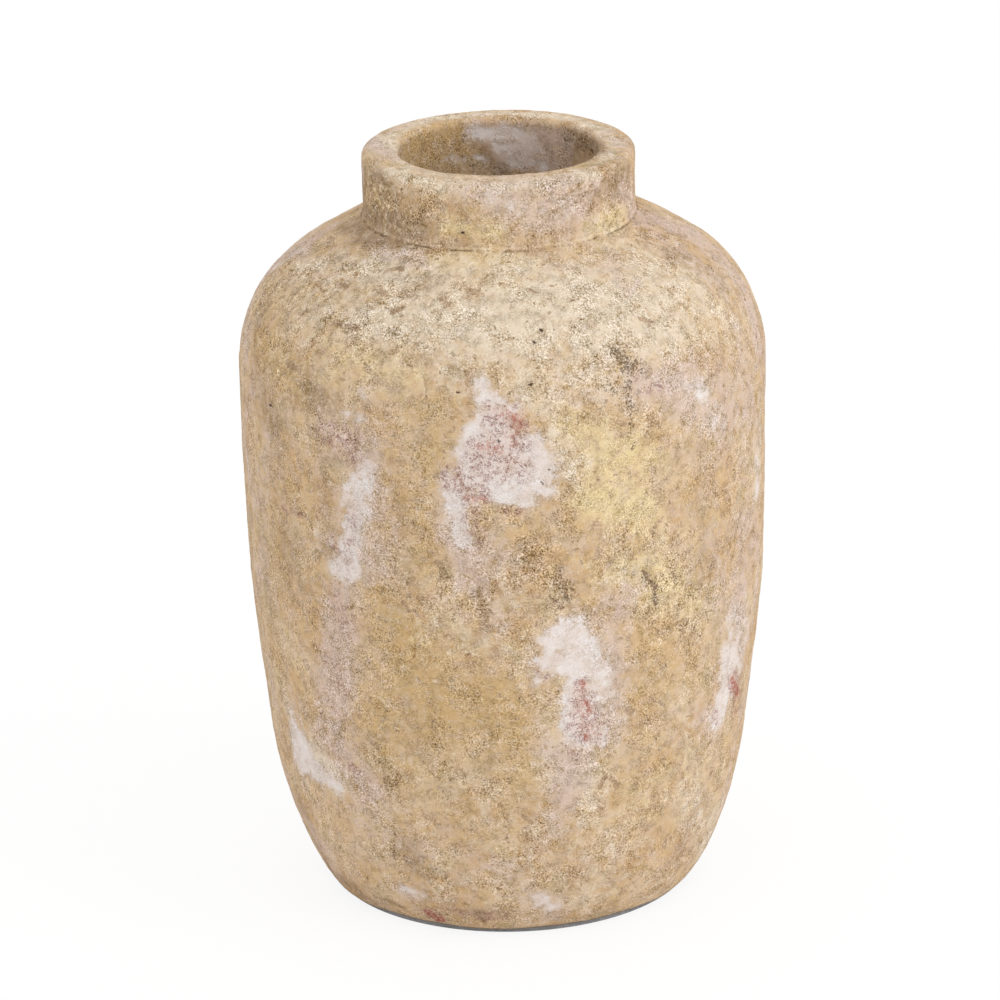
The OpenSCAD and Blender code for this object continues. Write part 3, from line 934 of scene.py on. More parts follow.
def left_by(points, wander, path, half_width, strength):
    """How much of one stroke is left on each point."""
    middle = np.mean([np.array(point) for point in path], axis=0)
    span = max((Vector(middle) - point).length for point in path)
    bend = min(wander_share * half_width, widest_wander)
    near = np.linalg.norm(points - middle, axis=1) < span + reach_in_widths * half_width + bend
    share = np.zeros(len(points))
    moved = points[near] + bend * wander[near]
    share[near] = np.minimum(strength * fade(moved, path, half_width), 1)
    return share


def paint_skin(obj):
    """Keeps every finish on a skin's points under the finish's name."""
    points = numbers_of(obj.data.vertices, "co", 3, np.float32)
    wander = read(obj.data, "wander", 3)
    bare = {finish: np.ones(len(points)) for finish in finishes}
    for finish, *stroke in strokes:
        bare[finish] *= 1 - left_by(points, wander, *stroke)
    for finish in finishes:
        write(obj.data, finish, "FLOAT", 1 - bare[finish])


for skin in skins:
    paint_skin(skin)
print("finishes on each skin:", ", ".join(finishes))

# %% [markdown]
# ## Wear in the surface itself
# The second tree in Geometry Nodes presses the wear into the skins. A pot built by hand is never
# quite round, so the whole face swells and sinks a little. Bare patches lie lower than the earth
# around them, crust stands up, pits go in, and two soft dents flatten the left side where the
# photograph's outline is flatter. The shift runs along the direction kept by the lathe. It only
# happens on the outer face, and it never goes outside the CAD size. At the collar's foot the
# swelling fades out, so that the two skins meet there in a crisp corner. A Displace modifier for
# each kind of wear could do the same, but one tree can add them all up before it sets the limit.

# %% The weather
swell_size = 70 * mm
thumb_size = 16 * mm
rough_size = 3 * mm
crumb_size = 2.6 * mm
thumb_share = 0.3
rough_height = 0.6 * mm
crumb_contrast = 4.0
lime_depth = -0.35 * mm
fullest_lime = 0.8
pit_depth = -0.4 * mm
deepest_shift = -1.25 * mm
fillet_reach = 1.3 * mm
soft_stop = 0.3 * mm


def noise_shift(tree, place, size, detail, strength, seed=0.0):
    """Noise around zero, with features of a size in metres, times a strength."""
    made = add(tree, "ShaderNodeTexNoise", {"noise_dimensions": "4D"}, Vector=place, W=seed,
               Scale=1 / size, Detail=detail, Roughness=0.6)
    return times(tree, less(tree, made.outputs[0], 0.5), strength)


def room_left(tree, parts, widest):
    """How far a point may still move out before it passes a radius."""
    flat_place = add(tree, "ShaderNodeCombineXYZ", X=parts["X"], Y=parts["Y"]).outputs[0]
    radius = add(tree, "ShaderNodeVectorMath", {"operation": "LENGTH"},
                 Vector=flat_place).outputs["Value"]
    return less(tree, widest, radius)


def weather_tree():
    """The weather: it moves the points of a skin's outer face in or out."""
    lengths = {"Wobble": 4 * mm, "Bias": 0.0, "Crust": 0.5 * mm, "Widest": 137.3 * mm,
               "Fillet": 0.1 * mm, "Dent": -1.4 * mm}
    inputs = {label: ("NodeSocketFloat", length) for label, length in lengths.items()}
    tree, start, end, sockets = shape_tree(
        "weather", {"Geometry": ("NodeSocketGeometry", None), **inputs})
    place = add(tree, "GeometryNodeInputPosition").outputs[0]
    parts = axes_of(tree, place)
    swell = noise_shift(tree, place, swell_size, 1.0, start["Wobble"])
    thumbs = noise_shift(tree, place, thumb_size, 2.0, times(tree, start["Wobble"], thumb_share), 3.0)
    rough = noise_shift(tree, place, rough_size, 3.0, rough_height, 5.0)
    crumbs = noise_shift(tree, place, crumb_size, 3.0, crumb_contrast, 7.0)
    crumb_height = times(tree, crumbs, start["Crust"], kept(tree, "crust"))
    bare = times(tree, math_node(tree, "SMOOTH_MIN", kept(tree, "lime"), fullest_lime, 0.2), lime_depth)
    pits = times(tree, math_node(tree, "MINIMUM", kept(tree, "pit"), 1.0), pit_depth)
    dents = times(tree, kept(tree, "dented"), start["Dent"])
    from_seat = math_node(tree, "ABSOLUTE", less(tree, parts["Z"], seat_height))
    near_seat = eased(tree, from_seat, fillet_reach, 0.0)
    loose = times(tree, total(tree, swell, thumbs, start["Bias"]), less(tree, 1.0, near_seat))
    filled = times(tree, near_seat, start["Fillet"])
    shift = total(tree, loose, filled, rough, crumb_height, bare, pits, dents)
    room = room_left(tree, parts, start["Widest"])
    shift = math_node(tree, "SMOOTH_MIN", shift, room, soft_stop)
    shift = times(tree, math_node(tree, "MAXIMUM", shift, deepest_shift), kept(tree, "skin"))
    offset = add(tree, "ShaderNodeVectorMath", {"operation": "SCALE"},
                 Vector=kept(tree, "outward", "FLOAT_VECTOR"), Scale=shift).outputs[0]
    moved = add(tree, "GeometryNodeSetPosition", Geometry=start["Geometry"], Offset=offset)
    hand_out(tree, moved.outputs["Geometry"], start, end)
    return tree, sockets


weather, weather_inputs = weather_tree()
print("weather:", len(weather.nodes), "nodes")

# %% [markdown]
# ## The materials
# Effects that several finishes share are small groups of their own. They take a place in
# millimetres, so that every size in them is a real one.

# %% Shader helpers


def srgb(red, green, blue):
    """A colour as it is read off the photograph, 0 to 255, in the linear values that nodes use."""
    values = [c / 255 for c in (red, green, blue)]
    return tuple(v / 12.92 if v <= 0.04045 else ((v + 0.055) / 1.055) ** 2.4 for v in values) + (1,)


def blend(tree, share, first, second, mode="MIX"):
    """Two colours mixed by a share."""
    made = add(tree, "ShaderNodeMix", {"data_type": "RGBA", "blend_type": mode})
    for value, number in ((share, 0), (first, 6), (second, 7)):
        connect(tree, value, made.inputs[number])
    return made.outputs[2]


def over(tree, colour, mask, share, layer):
    """A colour with a layer laid over it, by a share of a mask."""
    return blend(tree, times(tree, mask, share), colour, layer)


def mixed(tree, share, first, second):
    """Two shaders mixed by a share."""
    made = add(tree, "ShaderNodeMixShader")
    for value, socket in zip((share, first, second), made.inputs):
        connect(tree, value, socket)
    return made.outputs[0]


def noise(tree, place, size, detail=3.0, roughness=0.6, twist=0.0):
    """Noise with features of a size in the place's own unit."""
    made = add(tree, "ShaderNodeTexNoise", Vector=place, Scale=1 / size, Detail=detail,
               Roughness=roughness, Distortion=twist)
    return made.outputs[0]


def stretched(tree, place, x, y, z, turn=(0, 0, 0)):
    """A place turned, then scaled by a different factor along each axis."""
    return add(tree, "ShaderNodeMapping", {"vector_type": "TEXTURE"}, Vector=place, Rotation=turn,
               Scale=(x, y, z)).outputs[0]


def crackle(tree, place, size, width):
    """Thin squiggling lines, where a bent noise passes through its middle value."""
    bent = noise(tree, place, size, 3.0, 0.65, 1.3)
    off_middle = math_node(tree, "ABSOLUTE", less(tree, bent, 0.5))
    return eased(tree, off_middle, width, width * 0.25)


# %% Sandy grain


def sandy_grain_group():
    """Grains of three sizes, dark specks, and cracks with a painted highlight rim beside each, on one
    side.
    """
    tree, start, end, _ = new_tree(
        "sandy grain", "ShaderNodeTree",
        {"Place": ("NodeSocketVector", None), "Size": ("NodeSocketFloat", 1.0)},
        {"Tone": "NodeSocketFloat", "Dark": "NodeSocketFloat", "Cracks": "NodeSocketFloat",
         "Lit Rims": "NodeSocketFloat"})
    size = add(tree, "ShaderNodeCombineXYZ", X=start["Size"], Y=start["Size"], Z=start["Size"])
    place = vector_node(tree, "DIVIDE", start["Place"], size.outputs[0])
    parts = []
    for feature, detail, share in ((0.85, 2.0, 1.27), (2.4, 2.0, 0.26), (6.0, 2.0, 0.3)):
        grains = noise(tree, place, feature, detail)
        parts.append(times(tree, less(tree, grains, 0.5), share))
    patchy = sloped(tree, eased(tree, noise(tree, place, 16.0), 0.37, 0.63), 1.45, 0.25)
    connect(tree, times(tree, total(tree, *parts), patchy), end["Tone"])
    specks = noise(tree, place, 1.7, 2.0, 0.7)
    connect(tree, eased(tree, specks, 0.64, 0.74), end["Dark"])
    broken = eased(tree, noise(tree, place, 7.0, 2.0), 0.42, 0.6)
    beside = vector_node(tree, "ADD", place, (0.55, 0.0, 0.55))
    for where, outlet in ((place, "Cracks"), (beside, "Lit Rims")):
        coarse = crackle(tree, where, 5.0, 0.03)
        fine = times(tree, crackle(tree, where, 2.3, 0.04), 0.6)
        lines = math_node(tree, "MAXIMUM", coarse, fine)
        connect(tree, times(tree, lines, broken), end[outlet])
    return tree


sandy_grain = sandy_grain_group()

# %% Ragged patches


def ragged_patch_group():
    """A mask that grows with a finish's cover and has torn edges."""
    tree, start, end, _ = new_tree(
        "ragged patch", "ShaderNodeTree",
        {"Place": ("NodeSocketVector", None), "Cover": ("NodeSocketFloat", 0.0),
         "Size": ("NodeSocketFloat", 3.0), "Detail": ("NodeSocketFloat", 5.0),
         "Reach": ("NodeSocketFloat", 0.8), "Softness": ("NodeSocketFloat", 0.1)},
        {"Mask": "NodeSocketFloat"})
    scale = math_node(tree, "DIVIDE", 1.0, start["Size"])
    torn = add(tree, "ShaderNodeTexNoise", Vector=start["Place"], Scale=scale, Detail=start["Detail"],
               Roughness=0.65).outputs[0]
    shifted = sloped(tree, less(tree, torn, 0.5), start["Reach"], start["Cover"])
    low = less(tree, 0.5, start["Softness"])
    high = total(tree, 0.5, start["Softness"])
    connect(tree, eased(tree, shifted, low, high), end["Mask"])
    return tree


ragged_patch = ragged_patch_group()

# %% Wiped streaks
slant = math.radians(-32)


def wiped_streaks_group():
    """Streaks of three directions, as left by a cloth."""
    tree, start, end, _ = new_tree(
        "wiped streaks", "ShaderNodeTree", {"Place": ("NodeSocketVector", None)},
        {"Across": "NodeSocketFloat", "Down": "NodeSocketFloat", "Slanting": "NodeSocketFloat"})
    place = start["Place"]
    connect(tree, noise(tree, stretched(tree, place, 28, 28, 2.2), 1.0), end["Across"])
    connect(tree, noise(tree, stretched(tree, place, 4, 4, 30), 1.0), end["Down"])
    slanting = stretched(tree, place, 7, 7, 0.9, (0, slant, 0))
    connect(tree, noise(tree, slanting, 1.0, roughness=0.65), end["Slanting"])
    return tree


wiped_streaks = wiped_streaks_group()

# %% Steps that the materials share
grain_shares = (0.86, 1.0, 1.27)


def group(tree, shared, **inputs):
    """Adds a shared group and gives its outputs."""
    made = add(tree, "ShaderNodeGroup", {"node_tree": shared}, **inputs)
    return made.outputs


def ragged(tree, place, cover, size, detail, reach, softness):
    """A ragged patch that follows a cover."""
    return group(tree, ragged_patch, Place=place, Cover=cover, Size=size, Detail=detail, Reach=reach,
                 Softness=softness)["Mask"]


def painted_on(tree, finish):
    """A painted finish as a material reads it."""
    return add(tree, "ShaderNodeAttribute", {"attribute_name": finish}).outputs["Fac"]


def shaded(tree, colour, tone):
    """A colour made lighter or darker by a tone around zero, as pale grains dust it. In the coat the
    tone also carries painted shade and highlights.

    The grains change all three primaries by about the same step, so the weaker a primary is, the
    more it changes by comparison.
    """
    shades = [sloped(tree, tone, share, 1.0) for share in grain_shares]
    tint = add(tree, "ShaderNodeCombineColor", Red=shades[0], Green=shades[1], Blue=shades[2])
    return blend(tree, 1.0, colour, tint.outputs[0], "MULTIPLY")


def emptied(owner):
    """The node tree of a material or a world, with nothing in it yet."""
    owner.use_nodes = True
    owner.node_tree.nodes.clear()
    return owner.node_tree


def matte(made, roughness, specular=0.25):
    """Gives a material a matte shader, and gives back its tree, shader and place in millimetres."""
    tree = emptied(made)
    shader = add(tree, "ShaderNodeBsdfPrincipled", Roughness=roughness, Specular_IOR_Level=specular)
    add(tree, "ShaderNodeOutputMaterial", Surface=shader.outputs[0])
    place = add(tree, "ShaderNodeTexCoord").outputs["Object"]
    millimetres = add(tree, "ShaderNodeVectorMath", {"operation": "SCALE"}, Vector=place, Scale=1 / mm)
    return tree, shader, millimetres.outputs[0]


def dress(tree, shader, colour, height, step):
    """Gives a shader its colour, and a bump from a height whose full step is in metres."""
    bump = add(tree, "ShaderNodeBump", Height=height, Distance=step, Strength=1.0)
    connect(tree, colour, shader.inputs["Base Color"])
    connect(tree, bump.outputs["Normal"], shader.inputs["Normal"])


# %% [markdown]
# ### Sandy earth over lime over clay
# One material holds the whole story of the coat, and each function below is one chapter of it.
# Lime, clay and earth could be three materials on cut-out faces, but on the real vase one layer
# shows through the next with a ragged edge, and masks inside one material do just that. It starts
# with earth of several tints, which the painted washes and the streaks of a cloth go over.

# %% Earth, washes and wiped streaks
warm_earth = srgb(206, 171, 129)
pale_earth = srgb(220, 192, 157)
rosy_earth = srgb(212, 186, 162)
golden_earth = srgb(217, 187, 138)
brown_earth = srgb(180, 148, 113)
olive_earth = srgb(190, 168, 128)
wiped_earth = srgb(227, 206, 178)
wash_layers = (("umber", srgb(163, 135, 104), 0.9), ("ochre", srgb(203, 170, 120), 0.88),
               ("straw", srgb(233, 210, 161), 0.88), ("cream", srgb(231, 215, 192), 0.88),
               ("haze", srgb(211, 187, 172), 0.88))


def tinted_earth(tree, place, broad, blotch):
    """Earth as it lies on the whole vase, in six tints that run into each other."""
    smudge = noise(tree, stretched(tree, place, 1, 1, 1.5), 6, 2.0)
    olive_noise = noise(tree, place, 15, 2.0, 0.6, 0.5)
    colour = blend(tree, eased(tree, broad, 0.36, 0.62), warm_earth, pale_earth)
    colour = over(tree, colour, eased(tree, blotch, 0.45, 0.7), 0.6, rosy_earth)
    colour = over(tree, colour, eased(tree, blotch, 0.52, 0.3), 0.5, golden_earth)
    colour = over(tree, colour, eased(tree, smudge, 0.55, 0.7), 0.42, brown_earth)
    return over(tree, colour, eased(tree, olive_noise, 0.54, 0.68), 0.45, olive_earth)


def washed(tree, place, colour, streaks):
    """The painted washes of earth and lime dust, with the painted sheen, highlight and shade that some
    of their strokes carry, and the pale streaks that a cloth left.
    """
    for finish, wash, strength in wash_layers:
        mask = ragged(tree, place, painted_on(tree, finish), size=6.0, detail=2.5, reach=1.4,
                      softness=0.42)
        colour = over(tree, colour, mask, strength, wash)
    wipes = sloped(tree, streaks["Down"], 0.5, times(tree, streaks["Across"], 0.5))
    return over(tree, colour, eased(tree, wipes, 0.52, 0.66), 0.35, wiped_earth)


# %% [markdown]
# Where a flake has come off, its scar is darker inside, partly its own colour and partly painted
# shade in the hollow, and its broken edge is a painted highlight. Both are one
# ragged patch cut at two levels, so the edge always follows the scar. Chips are pale splashes that
# sit on the earth.

# %% Scars and chips
scar_edge_highlight = srgb(229, 210, 181)
scar_dark = srgb(166, 132, 97)
chip_pale = srgb(227, 206, 174)


def flaked(tree, place, colour):
    """Flake scars, painted ones and a scatter of small ones, and pale chips."""
    small_scars = eased(tree, noise(tree, place, 4.0, 1.0), 0.62, 0.7)
    cover = sloped(tree, small_scars, 0.56, painted_on(tree, "scar"))
    edge = ragged(tree, place, total(tree, cover, 0.16), size=1.8, detail=2.0, reach=1.2,
                  softness=0.08)
    inside = ragged(tree, place, cover, size=1.8, detail=2.0, reach=1.2, softness=0.06)
    # Painted highlight on the scar's broken edge, then its inside, darker partly by its own colour and
    # partly by painted shade.
    colour = over(tree, colour, edge, 0.5, scar_edge_highlight)
    colour = over(tree, colour, inside, 0.68, scar_dark)
    splashes = eased(tree, noise(tree, place, 2.3, 2.0, 0.5, 0.6), 0.56, 0.59)
    return over(tree, colour, times(tree, splashes, painted_on(tree, "chips")), 0.8, chip_pale)


# %% [markdown]
# Bare lime has a thin veil round a solid core, again much the same patch cut at two levels. Clay
# shows through as a rosy veil, a net of fine cracks and solid flecks, the deepest of them dark red.
# The net is where a bent noise passes through its middle value, which wanders as real cracks do.

# %% Lime and clay
lime_veil = srgb(219, 201, 187)
lime_grey = srgb(226, 210, 200)
lime_white = srgb(235, 226, 221)
clay_veil = srgb(220, 188, 176)
clay_crack = srgb(144, 99, 90)
clay_pink = srgb(190, 132, 116)
clay_deep = srgb(164, 88, 74)


def limed(tree, place, colour, blotch):
    """The white ground laid bare. It also gives back its core, where the grains come out weaker."""
    cover = painted_on(tree, "lime")
    core = ragged(tree, place, less(tree, cover, 0.08), size=5.0, detail=5.0, reach=1.7,
                  softness=0.26)
    veil = ragged(tree, place, total(tree, cover, 0.22), size=5.0, detail=4.0, reach=1.8,
                  softness=0.4)
    colour = over(tree, colour, veil, 0.6, lime_veil)
    solid = blend(tree, eased(tree, blotch, 0.35, 0.65), lime_grey, lime_white)
    return over(tree, colour, core, 0.95, solid), core


def worn_to_clay(tree, place, colour):
    """The pink body showing through the white ground."""
    cover = painted_on(tree, "clay")
    colour = over(tree, colour, eased(tree, cover, 0.1, 0.9), 0.32, clay_veil)
    net = times(tree, crackle(tree, place, 2.4, 0.06), eased(tree, cover, 0.05, 0.4),
                eased(tree, noise(tree, place, 4.0, 2.0), 0.38, 0.56))
    colour = over(tree, colour, net, 0.92, clay_crack)
    flecks = ragged(tree, place, less(tree, cover, 0.42), size=1.8, detail=3.0, reach=1.5,
                    softness=0.14)
    colour = over(tree, colour, flecks, 0.62, clay_pink)
    deepest = times(tree, flecks, eased(tree, cover, 0.975, 1.0))
    return over(tree, colour, deepest, 0.6, clay_deep)


# %% [markdown]
# Dirt lies on top of all: crumbs of soot and dark pits. A grey band covers the lowest edge, fullest
# at the bottom. A broken dark line marks the seam where the collar was set on the shoulder, with
# painted shade just under it and a painted highlight on a ledge above it, which the bump raises.
# The line, the shade, the ledge and the grey band follow a height, so they need no strokes: the
# height itself draws them, made to waver a little.

# %% Dirt, the grey foot band, and the seam with its painted shade and highlight
soot_dark = srgb(90, 72, 52)
pit_dark = srgb(66, 42, 26)
foot_grey = srgb(112, 102, 98)
seam_dark = srgb(112, 90, 60)


def sooted(tree, place, colour):
    """A scatter of dark crumbs, then the small holes."""
    cover = painted_on(tree, "soot")
    crumbs = ragged(tree, place, less(tree, cover, 0.3), size=1.1, detail=2.0, reach=3.0,
                    softness=0.14)
    crumbs = times(tree, crumbs, eased(tree, cover, 0.03, 0.2))
    colour = over(tree, colour, crumbs, 0.74, soot_dark)
    holes = ragged(tree, place, less(tree, painted_on(tree, "pit"), 0.14), size=1.2, detail=5.0,
                   reach=1.3, softness=0.14)
    return over(tree, colour, holes, 0.9, pit_dark)


def wavering_height(tree, place):
    """The height in millimetres, made to waver so that no line round the vase is straight."""
    waver = sloped(tree, noise(tree, place, 9.0, 2.0), 1.6, -0.8)
    return total(tree, axes_of(tree, place)["Z"], waver)


def seam_line(tree, place, over_seam):
    """The dark line of the seam, broken where the coat has closed over it."""
    open_here = eased(tree, noise(tree, place, 14.0, 4.0, 0.7), 0.44, 0.56)
    on_line = eased(tree, math_node(tree, "ABSOLUTE", over_seam), 0.5, 0.1)
    return times(tree, on_line, sloped(tree, open_here, 0.62, 0.08))


def lit_ledge_line(tree, over_seam):
    """A painted highlight on the ledge just above the seam, which the bump also raises."""
    off_ledge = math_node(tree, "ABSOLUTE", less(tree, over_seam, 1.3))
    return eased(tree, off_ledge, 1.0, 0.3)


# %% [markdown]
# Last come the grains, which lighten and darken whatever lies under them. They are strong in
# crust, weak in straw earth and weaker still on bare lime. The same grains go into the bump, so
# that pale ones stand up and dark ones lie low. They are too fine to be modelled as a mesh.

# %% The coat's material


def finish_coat(made):
    """Lays down the coat from the earth to the grains."""
    tree, shader, place = matte(made, roughness=0.92)
    grain = group(tree, sandy_grain, Place=place, Size=1.0)
    streaks = group(tree, wiped_streaks, Place=place)
    broad = noise(tree, place, 30)
    blotch = noise(tree, place, 9, 2.0)
    colour = tinted_earth(tree, place, broad, blotch)
    colour = washed(tree, place, colour, streaks)
    colour = flaked(tree, place, colour)
    colour, core = limed(tree, place, colour, blotch)
    colour = worn_to_clay(tree, place, colour)
    colour = sooted(tree, place, colour)

    height_here = wavering_height(tree, place)
    over_seam = less(tree, height_here, seat_height / mm)
    seam = seam_line(tree, place, over_seam)
    lit_ledge = lit_ledge_line(tree, over_seam)
    # A grey band on the coat's lowest few millimetres: full below 2.9 mm, gone above 4.4 mm.
    colour = over(tree, colour, eased(tree, height_here, 4.4, 2.9), 0.8, foot_grey)
    colour = blend(tree, seam, colour, seam_dark)

    crust = painted_on(tree, "crust")
    # The hollows between the crust's crumbs sink in the bump and are also darkened in colour: painted
    # shade.
    crevice = eased(tree, noise(tree, place, 2.6, 4.0, 0.75), 0.47, 0.33)
    shaded_crust_hollows = times(tree, crust, crevice)
    less_on_lime = sloped(tree, core, -0.7, 1.0)
    specks = times(tree, grain["Dark"], -0.18)
    cracks = times(tree, grain["Cracks"], times(tree, sloped(tree, crust, -0.2, -0.35), less_on_lime))
    # Pale rims, on the same side of every crack, are painted highlight; the bump raises them too.
    lit_rims = times(tree, grain["Lit Rims"], times(tree, sloped(tree, crust, 0.13, 0.17), less_on_lime))
    wiped_here = times(tree, eased(tree, broad, 0.45, 0.6), 0.45)
    wiped = times(tree, less(tree, streaks["Slanting"], 0.5), wiped_here)
    # Painted shade on the shoulder in the few millimetres just under the seam.
    shade_under_seam = times(tree, eased(tree, over_seam, -4.5, -0.3), eased(tree, over_seam, 0.4, -0.2))
    contrast = sloped(tree, painted_on(tree, "straw"), -0.45, 1.35)
    contrast = sloped(tree, crust, 0.85, sloped(tree, core, -0.8, contrast))
    # Besides the grains, the tone holds painted shade under the seam and in the crust's hollows, and
    # painted highlights on the ledge and beside the cracks.
    details = total(tree, specks, cracks, lit_rims, times(tree, shaded_crust_hollows, -0.15), wiped,
                    times(tree, shade_under_seam, -0.07), times(tree, lit_ledge, 0.12))
    tone = sloped(tree, grain["Tone"], contrast, details)
    relief = total(tree, times(tree, grain["Tone"], 1.2), specks, cracks, lit_rims, times(tree, seam, -1.0),
                   lit_ledge, times(tree, shaded_crust_hollows, -0.8), times(tree, core, -0.3))
    dress(tree, shader, shaded(tree, colour, tone), relief, 0.3 * mm)


finish_coat(earth_coat)
print("coat:", len(earth_coat.node_tree.nodes), "nodes")

# %% [markdown]
# ### Bare clay and slip
# The walls inside are bare fired clay. Fingers left rings in it as the coils were drawn up, and
# the slip that glued the sections dried to a darker line. Each ring could be a real groove, but it
# is only half a millimetre deep, so a wave that climbs the wall draws it in the bump, and in colour
# as painted shade in the groove and painted light on the ridge.

# %% Clay and slip
clay_speck = srgb(110, 80, 62)


def clay_material(name, deep, pale, ring_gap, ring_strength):
    """Fired clay with the rings that fingers leave, their gap given in millimetres."""
    made = bpy.data.materials.new(name)
    tree, shader, place = matte(made, roughness=0.9)
    grain = group(tree, sandy_grain, Place=place, Size=1.3)
    climb = sloped(tree, noise(tree, place, 60, 2.0), 9.0, axes_of(tree, place)["Z"])
    wave = math_node(tree, "SINE", times(tree, climb, 2 * math.pi / ring_gap))
    colour = blend(tree, eased(tree, noise(tree, place, 22, 4.0, 0.65), 0.35, 0.65), deep, pale)
    colour = shaded(tree, colour, times(tree, grain["Tone"], 1.4))
    # Painted shade and light of the rings: darker in each groove, lighter on each ridge.
    ring_light_and_shade = sloped(tree, wave, 0.05 * ring_strength, 1.0)
    grey = add(tree, "ShaderNodeCombineColor", Red=ring_light_and_shade, Green=ring_light_and_shade, Blue=ring_light_and_shade)
    colour = blend(tree, 1.0, colour, grey.outputs[0], "MULTIPLY")
    colour = over(tree, colour, grain["Dark"], 0.3, clay_speck)
    relief = total(tree, times(tree, wave, ring_strength), grain["Tone"])
    dress(tree, shader, colour, relief, 0.6 * mm)
    return made


bare_clay = clay_material("terracotta", srgb(176, 122, 96), srgb(205, 156, 128), ring_gap=11.0,
                          ring_strength=0.8)
dry_slip = clay_material("dry_slip", srgb(150, 100, 78), srgb(172, 120, 96), ring_gap=3.0,
                         ring_strength=0.3)
print("clay and slip:", bare_clay.name, dry_slip.name)

# %% [markdown]
# ### Felt
# The pad is a mat of pressed fibres, paler where they lie on top. Hair could be grown on it, but
# felt is pressed flat, and under the foot only its edge and its underside are ever seen. Thin
# squiggling lines of two sizes look the same from there, with a little sheen as fibres have.

# %% Felt
felt_deep = srgb(140, 139, 142)
felt_grey = srgb(172, 170, 171)
felt_fibre = srgb(203, 200, 198)


def felt_material():
    """Grey felt with a soft sheen."""
    made = bpy.data.materials.new("grey_felt")
    tree, shader, place = matte(made, roughness=1.0, specular=0.1)
    long_fibres = crackle(tree, place, 1.9, 0.05)
    short_fibres = times(tree, crackle(tree, place, 0.9, 0.07), 0.7)
    mat = math_node(tree, "MAXIMUM", long_fibres, short_fibres)
    pressed = eased(tree, noise(tree, place, 4.0, 5.0, 0.7), 0.3, 0.7)
    colour = over(tree, blend(tree, pressed, felt_deep, felt_grey), mat, 0.45, felt_fibre)
    dress(tree, shader, colour, sloped(tree, mat, 0.6, pressed), 0.2 * mm)
    shader.inputs["Sheen Weight"].default_value = 0.3
    return made


# %% Finishes of the pieces that keep their mesh
clay_nodes = ("floor_disc", "floor_coil", "foot_wall", "flank_wall", "belly_wall", "shoulder_wall",
              "neck_collar")
node_finish = {"base_pad": felt_material()}
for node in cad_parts:
    if node.endswith("_slip"):
        node_finish[node] = dry_slip
    elif node in clay_nodes:
        node_finish[node] = bare_clay
for node, finish in node_finish.items():
    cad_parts[node].data.materials.clear()
    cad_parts[node].data.materials.append(finish)
print("CAD nodes that keep their mesh:", ", ".join(sorted(node_finish)))

# %% [markdown]
# ## Finishing the skins
# Now the weather runs on each painted skin. The collar is stiffer than the body, so it wobbles
# less. Where two bands meet, each knows only its own half of the surface, so its shading would
# break there in a fine line. The outer face's directions are therefore worked out from both bands
# together and kept on the mesh.

# %% Weather on
body_wobble = {"Wobble": 4 * mm, "Bias": 0.0}
neck_wobble = {"Wobble": 2.2 * mm, "Bias": -0.5 * mm}
for skin in skins:
    apply_nodes(skin, weather, weather_inputs, neck_wobble if skin is neck_skin else body_wobble)
    skin.data.polygons.foreach_set("use_smooth", np.ones(len(skin.data.polygons), bool))
print("weather is on", len(skins), "skins")

# %% Shading that runs on from band to band
same_row = 1e-6
shortest_sum = 1e-15


def outer_face(mesh):
    """A turned skin's corner points, which corners lie on the outer face, and the summed normals."""
    corners = numbers_of(mesh.loops, "vertex_index", 1, int)
    sides = numbers_of(mesh.polygons, "loop_total", 1, int)
    facing = numbers_of(mesh.polygons, "normal", 3)
    areas = numbers_of(mesh.polygons, "area")
    face_of_corner = np.repeat(np.arange(len(sides)), sides)
    inside = np.bincount(face_of_corner, weights=read(mesh, "skin")[corners] < 0.5)
    outer = inside[face_of_corner] == 0
    weighted = (facing * areas[:, None])[face_of_corner[outer]]
    summed = np.stack([np.bincount(corners[outer], weights=side, minlength=len(mesh.vertices))
                       for side in weighted.T], 1)
    return corners, outer, facing[face_of_corner], summed


def ring(mesh, mark):
    """The outer face's points on one row of the outline, in order round the axis."""
    on_row = (np.abs(read(mesh, "along") - mark) < same_row) & (read(mesh, "skin") > 0.5)
    points = np.flatnonzero(on_row)
    places = numbers_of(mesh.vertices, "co", 3)[points]
    return points[np.argsort(np.arctan2(places[:, 0], -places[:, 1]))]


faces, sums = {}, {}
for skin in skins:
    *faces[skin], sums[skin] = outer_face(skin.data)
for lower, upper, end in zip(skins[:-2], skins[1:-1], band_ends[1:-1]):
    low_ring = ring(lower.data, body_marks[end])
    high_ring = ring(upper.data, body_marks[end])
    both = sums[lower][low_ring] + sums[upper][high_ring]
    sums[lower][low_ring] = both
    sums[upper][high_ring] = both
    print(lower.name, "meets", upper.name, "in", len(low_ring), "points")
for skin, (corners, outer, flat_facing) in faces.items():
    lengths = np.linalg.norm(sums[skin], axis=1, keepdims=True)
    smooth = sums[skin] / np.maximum(lengths, shortest_sum)
    directions = np.where(outer[:, None], smooth[corners], flat_facing)
    skin.data.normals_split_custom_set(directions.tolist())

# %% Pieces of the frame
for skin in skins:
    on_neck = skin is neck_skin
    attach(skin, "root")
    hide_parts("neck_coat" if on_neck else "body_coat")

# %% [markdown]
# ## Floor and light
# The photograph is a product shot on white. The floor is a wide white sheet that the camera sees
# nearly as plain white, with a faint shadow left under the foot. It lies a tenth of a millimetre
# below the felt and turns clear for a camera below it, to show the underside. The light is soft, a
# little stronger from the upper right.

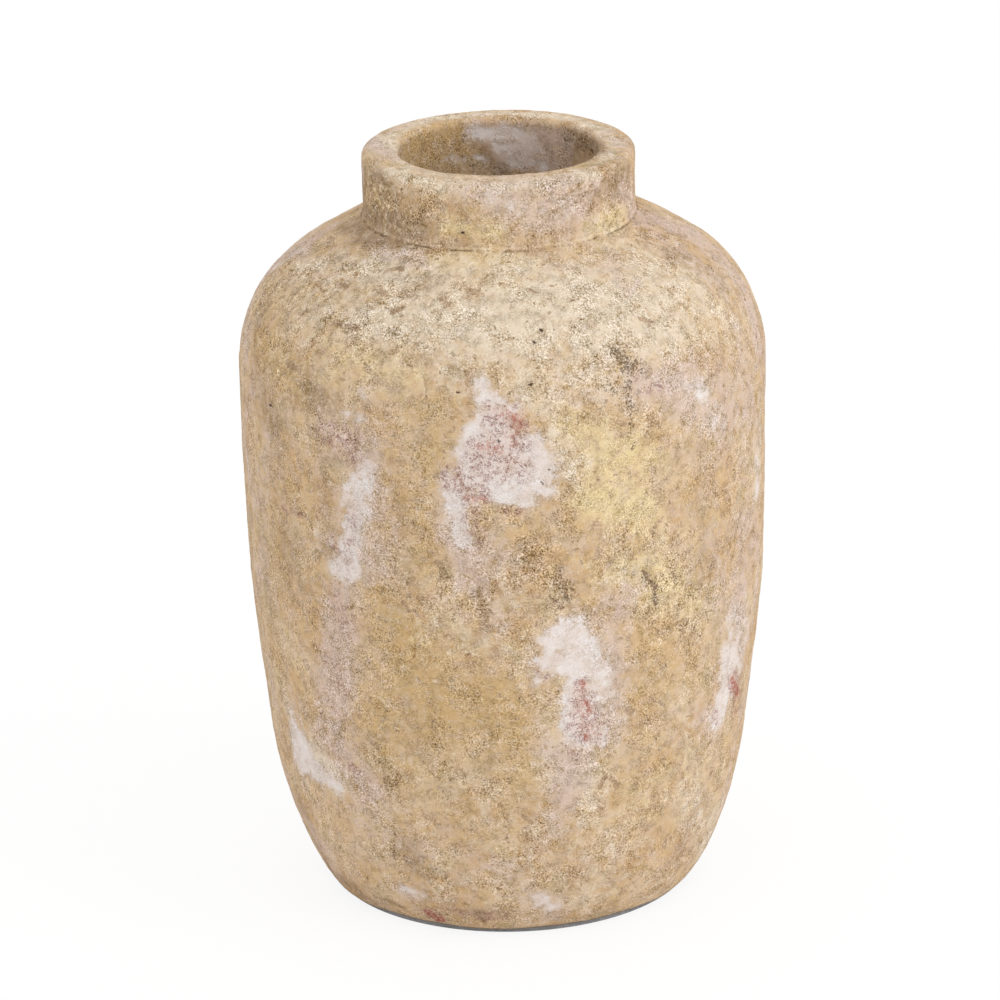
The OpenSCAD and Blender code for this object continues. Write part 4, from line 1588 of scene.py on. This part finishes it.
# %% Floor
floor_half = 6.0
floor_level = -0.1 * mm
floor_white = (0.93, 0.93, 0.93, 1)
floor_glow = 1.025
glow_share = 0.85
floor_mesh = bpy.data.meshes.new("floor")
floor_corners = [(x * floor_half, y * floor_half, floor_level)
                 for x, y in ((-1, -1), (1, -1), (1, 1), (-1, 1))]
floor_mesh.from_pydata(floor_corners, [], [(0, 1, 2, 3)])
floor = placed("floor", floor_mesh)


def floor_material():
    """A white sheet that shows shadows faintly and is clear from below."""
    made = bpy.data.materials.new("white_floor")
    tree = emptied(made)
    sheet = add(tree, "ShaderNodeBsdfDiffuse", Color=floor_white).outputs[0]
    glow = add(tree, "ShaderNodeEmission", Strength=floor_glow).outputs[0]
    rays = add(tree, "ShaderNodeLightPath").outputs
    lit = mixed(tree, times(tree, rays["Is Camera Ray"], glow_share), sheet, glow)
    camera_spot = add(tree, "ShaderNodeVectorTransform",
                      {"vector_type": "POINT", "convert_from": "CAMERA", "convert_to": "WORLD"},
                      Vector=(0, 0, 0))
    camera_level = axes_of(tree, camera_spot.outputs[0])["Z"]
    from_below = math_node(tree, "LESS_THAN", camera_level, floor_level)
    clear = add(tree, "ShaderNodeBsdfTransparent").outputs[0]
    add(tree, "ShaderNodeOutputMaterial", Surface=mixed(tree, from_below, lit, clear))
    return made


floor_mesh.materials.append(floor_material())
print("floor:", 2 * floor_half, "m wide")

# %% Light
soft_light_strength = 0.915
backdrop_strength = 1.0
key_place = (2.4, -1.3, 1.9)
key_side = 1.8
key_watts = 22


def background(tree, strength):
    """White light from all round."""
    return add(tree, "ShaderNodeBackground", Color=(1, 1, 1, 1), Strength=strength).outputs[0]


def soft_box(name, place, side, watts):
    """A large square light aimed at the middle of the vase."""
    data = bpy.data.lights.new(name, "AREA")
    data.size = side
    data.energy = watts
    light = placed(name, data)
    light.location = place
    aim = Vector((0, 0, vase_height / 2)) - Vector(place)
    light.rotation_euler = aim.to_track_quat("-Z", "Y").to_euler()


world = bpy.data.worlds.new("studio")
bpy.context.scene.world = world
sky = emptied(world)
rays = add(sky, "ShaderNodeLightPath").outputs
seen = math_node(sky, "MAXIMUM", rays["Is Camera Ray"], rays["Is Glossy Ray"])
either = mixed(sky, seen, background(sky, soft_light_strength), background(sky, backdrop_strength))
add(sky, "ShaderNodeOutputWorld", Surface=either)
soft_box("key", key_place, key_side, key_watts)
bpy.context.scene.view_settings.view_transform = "Standard"
print("key light:", key_watts, "W")
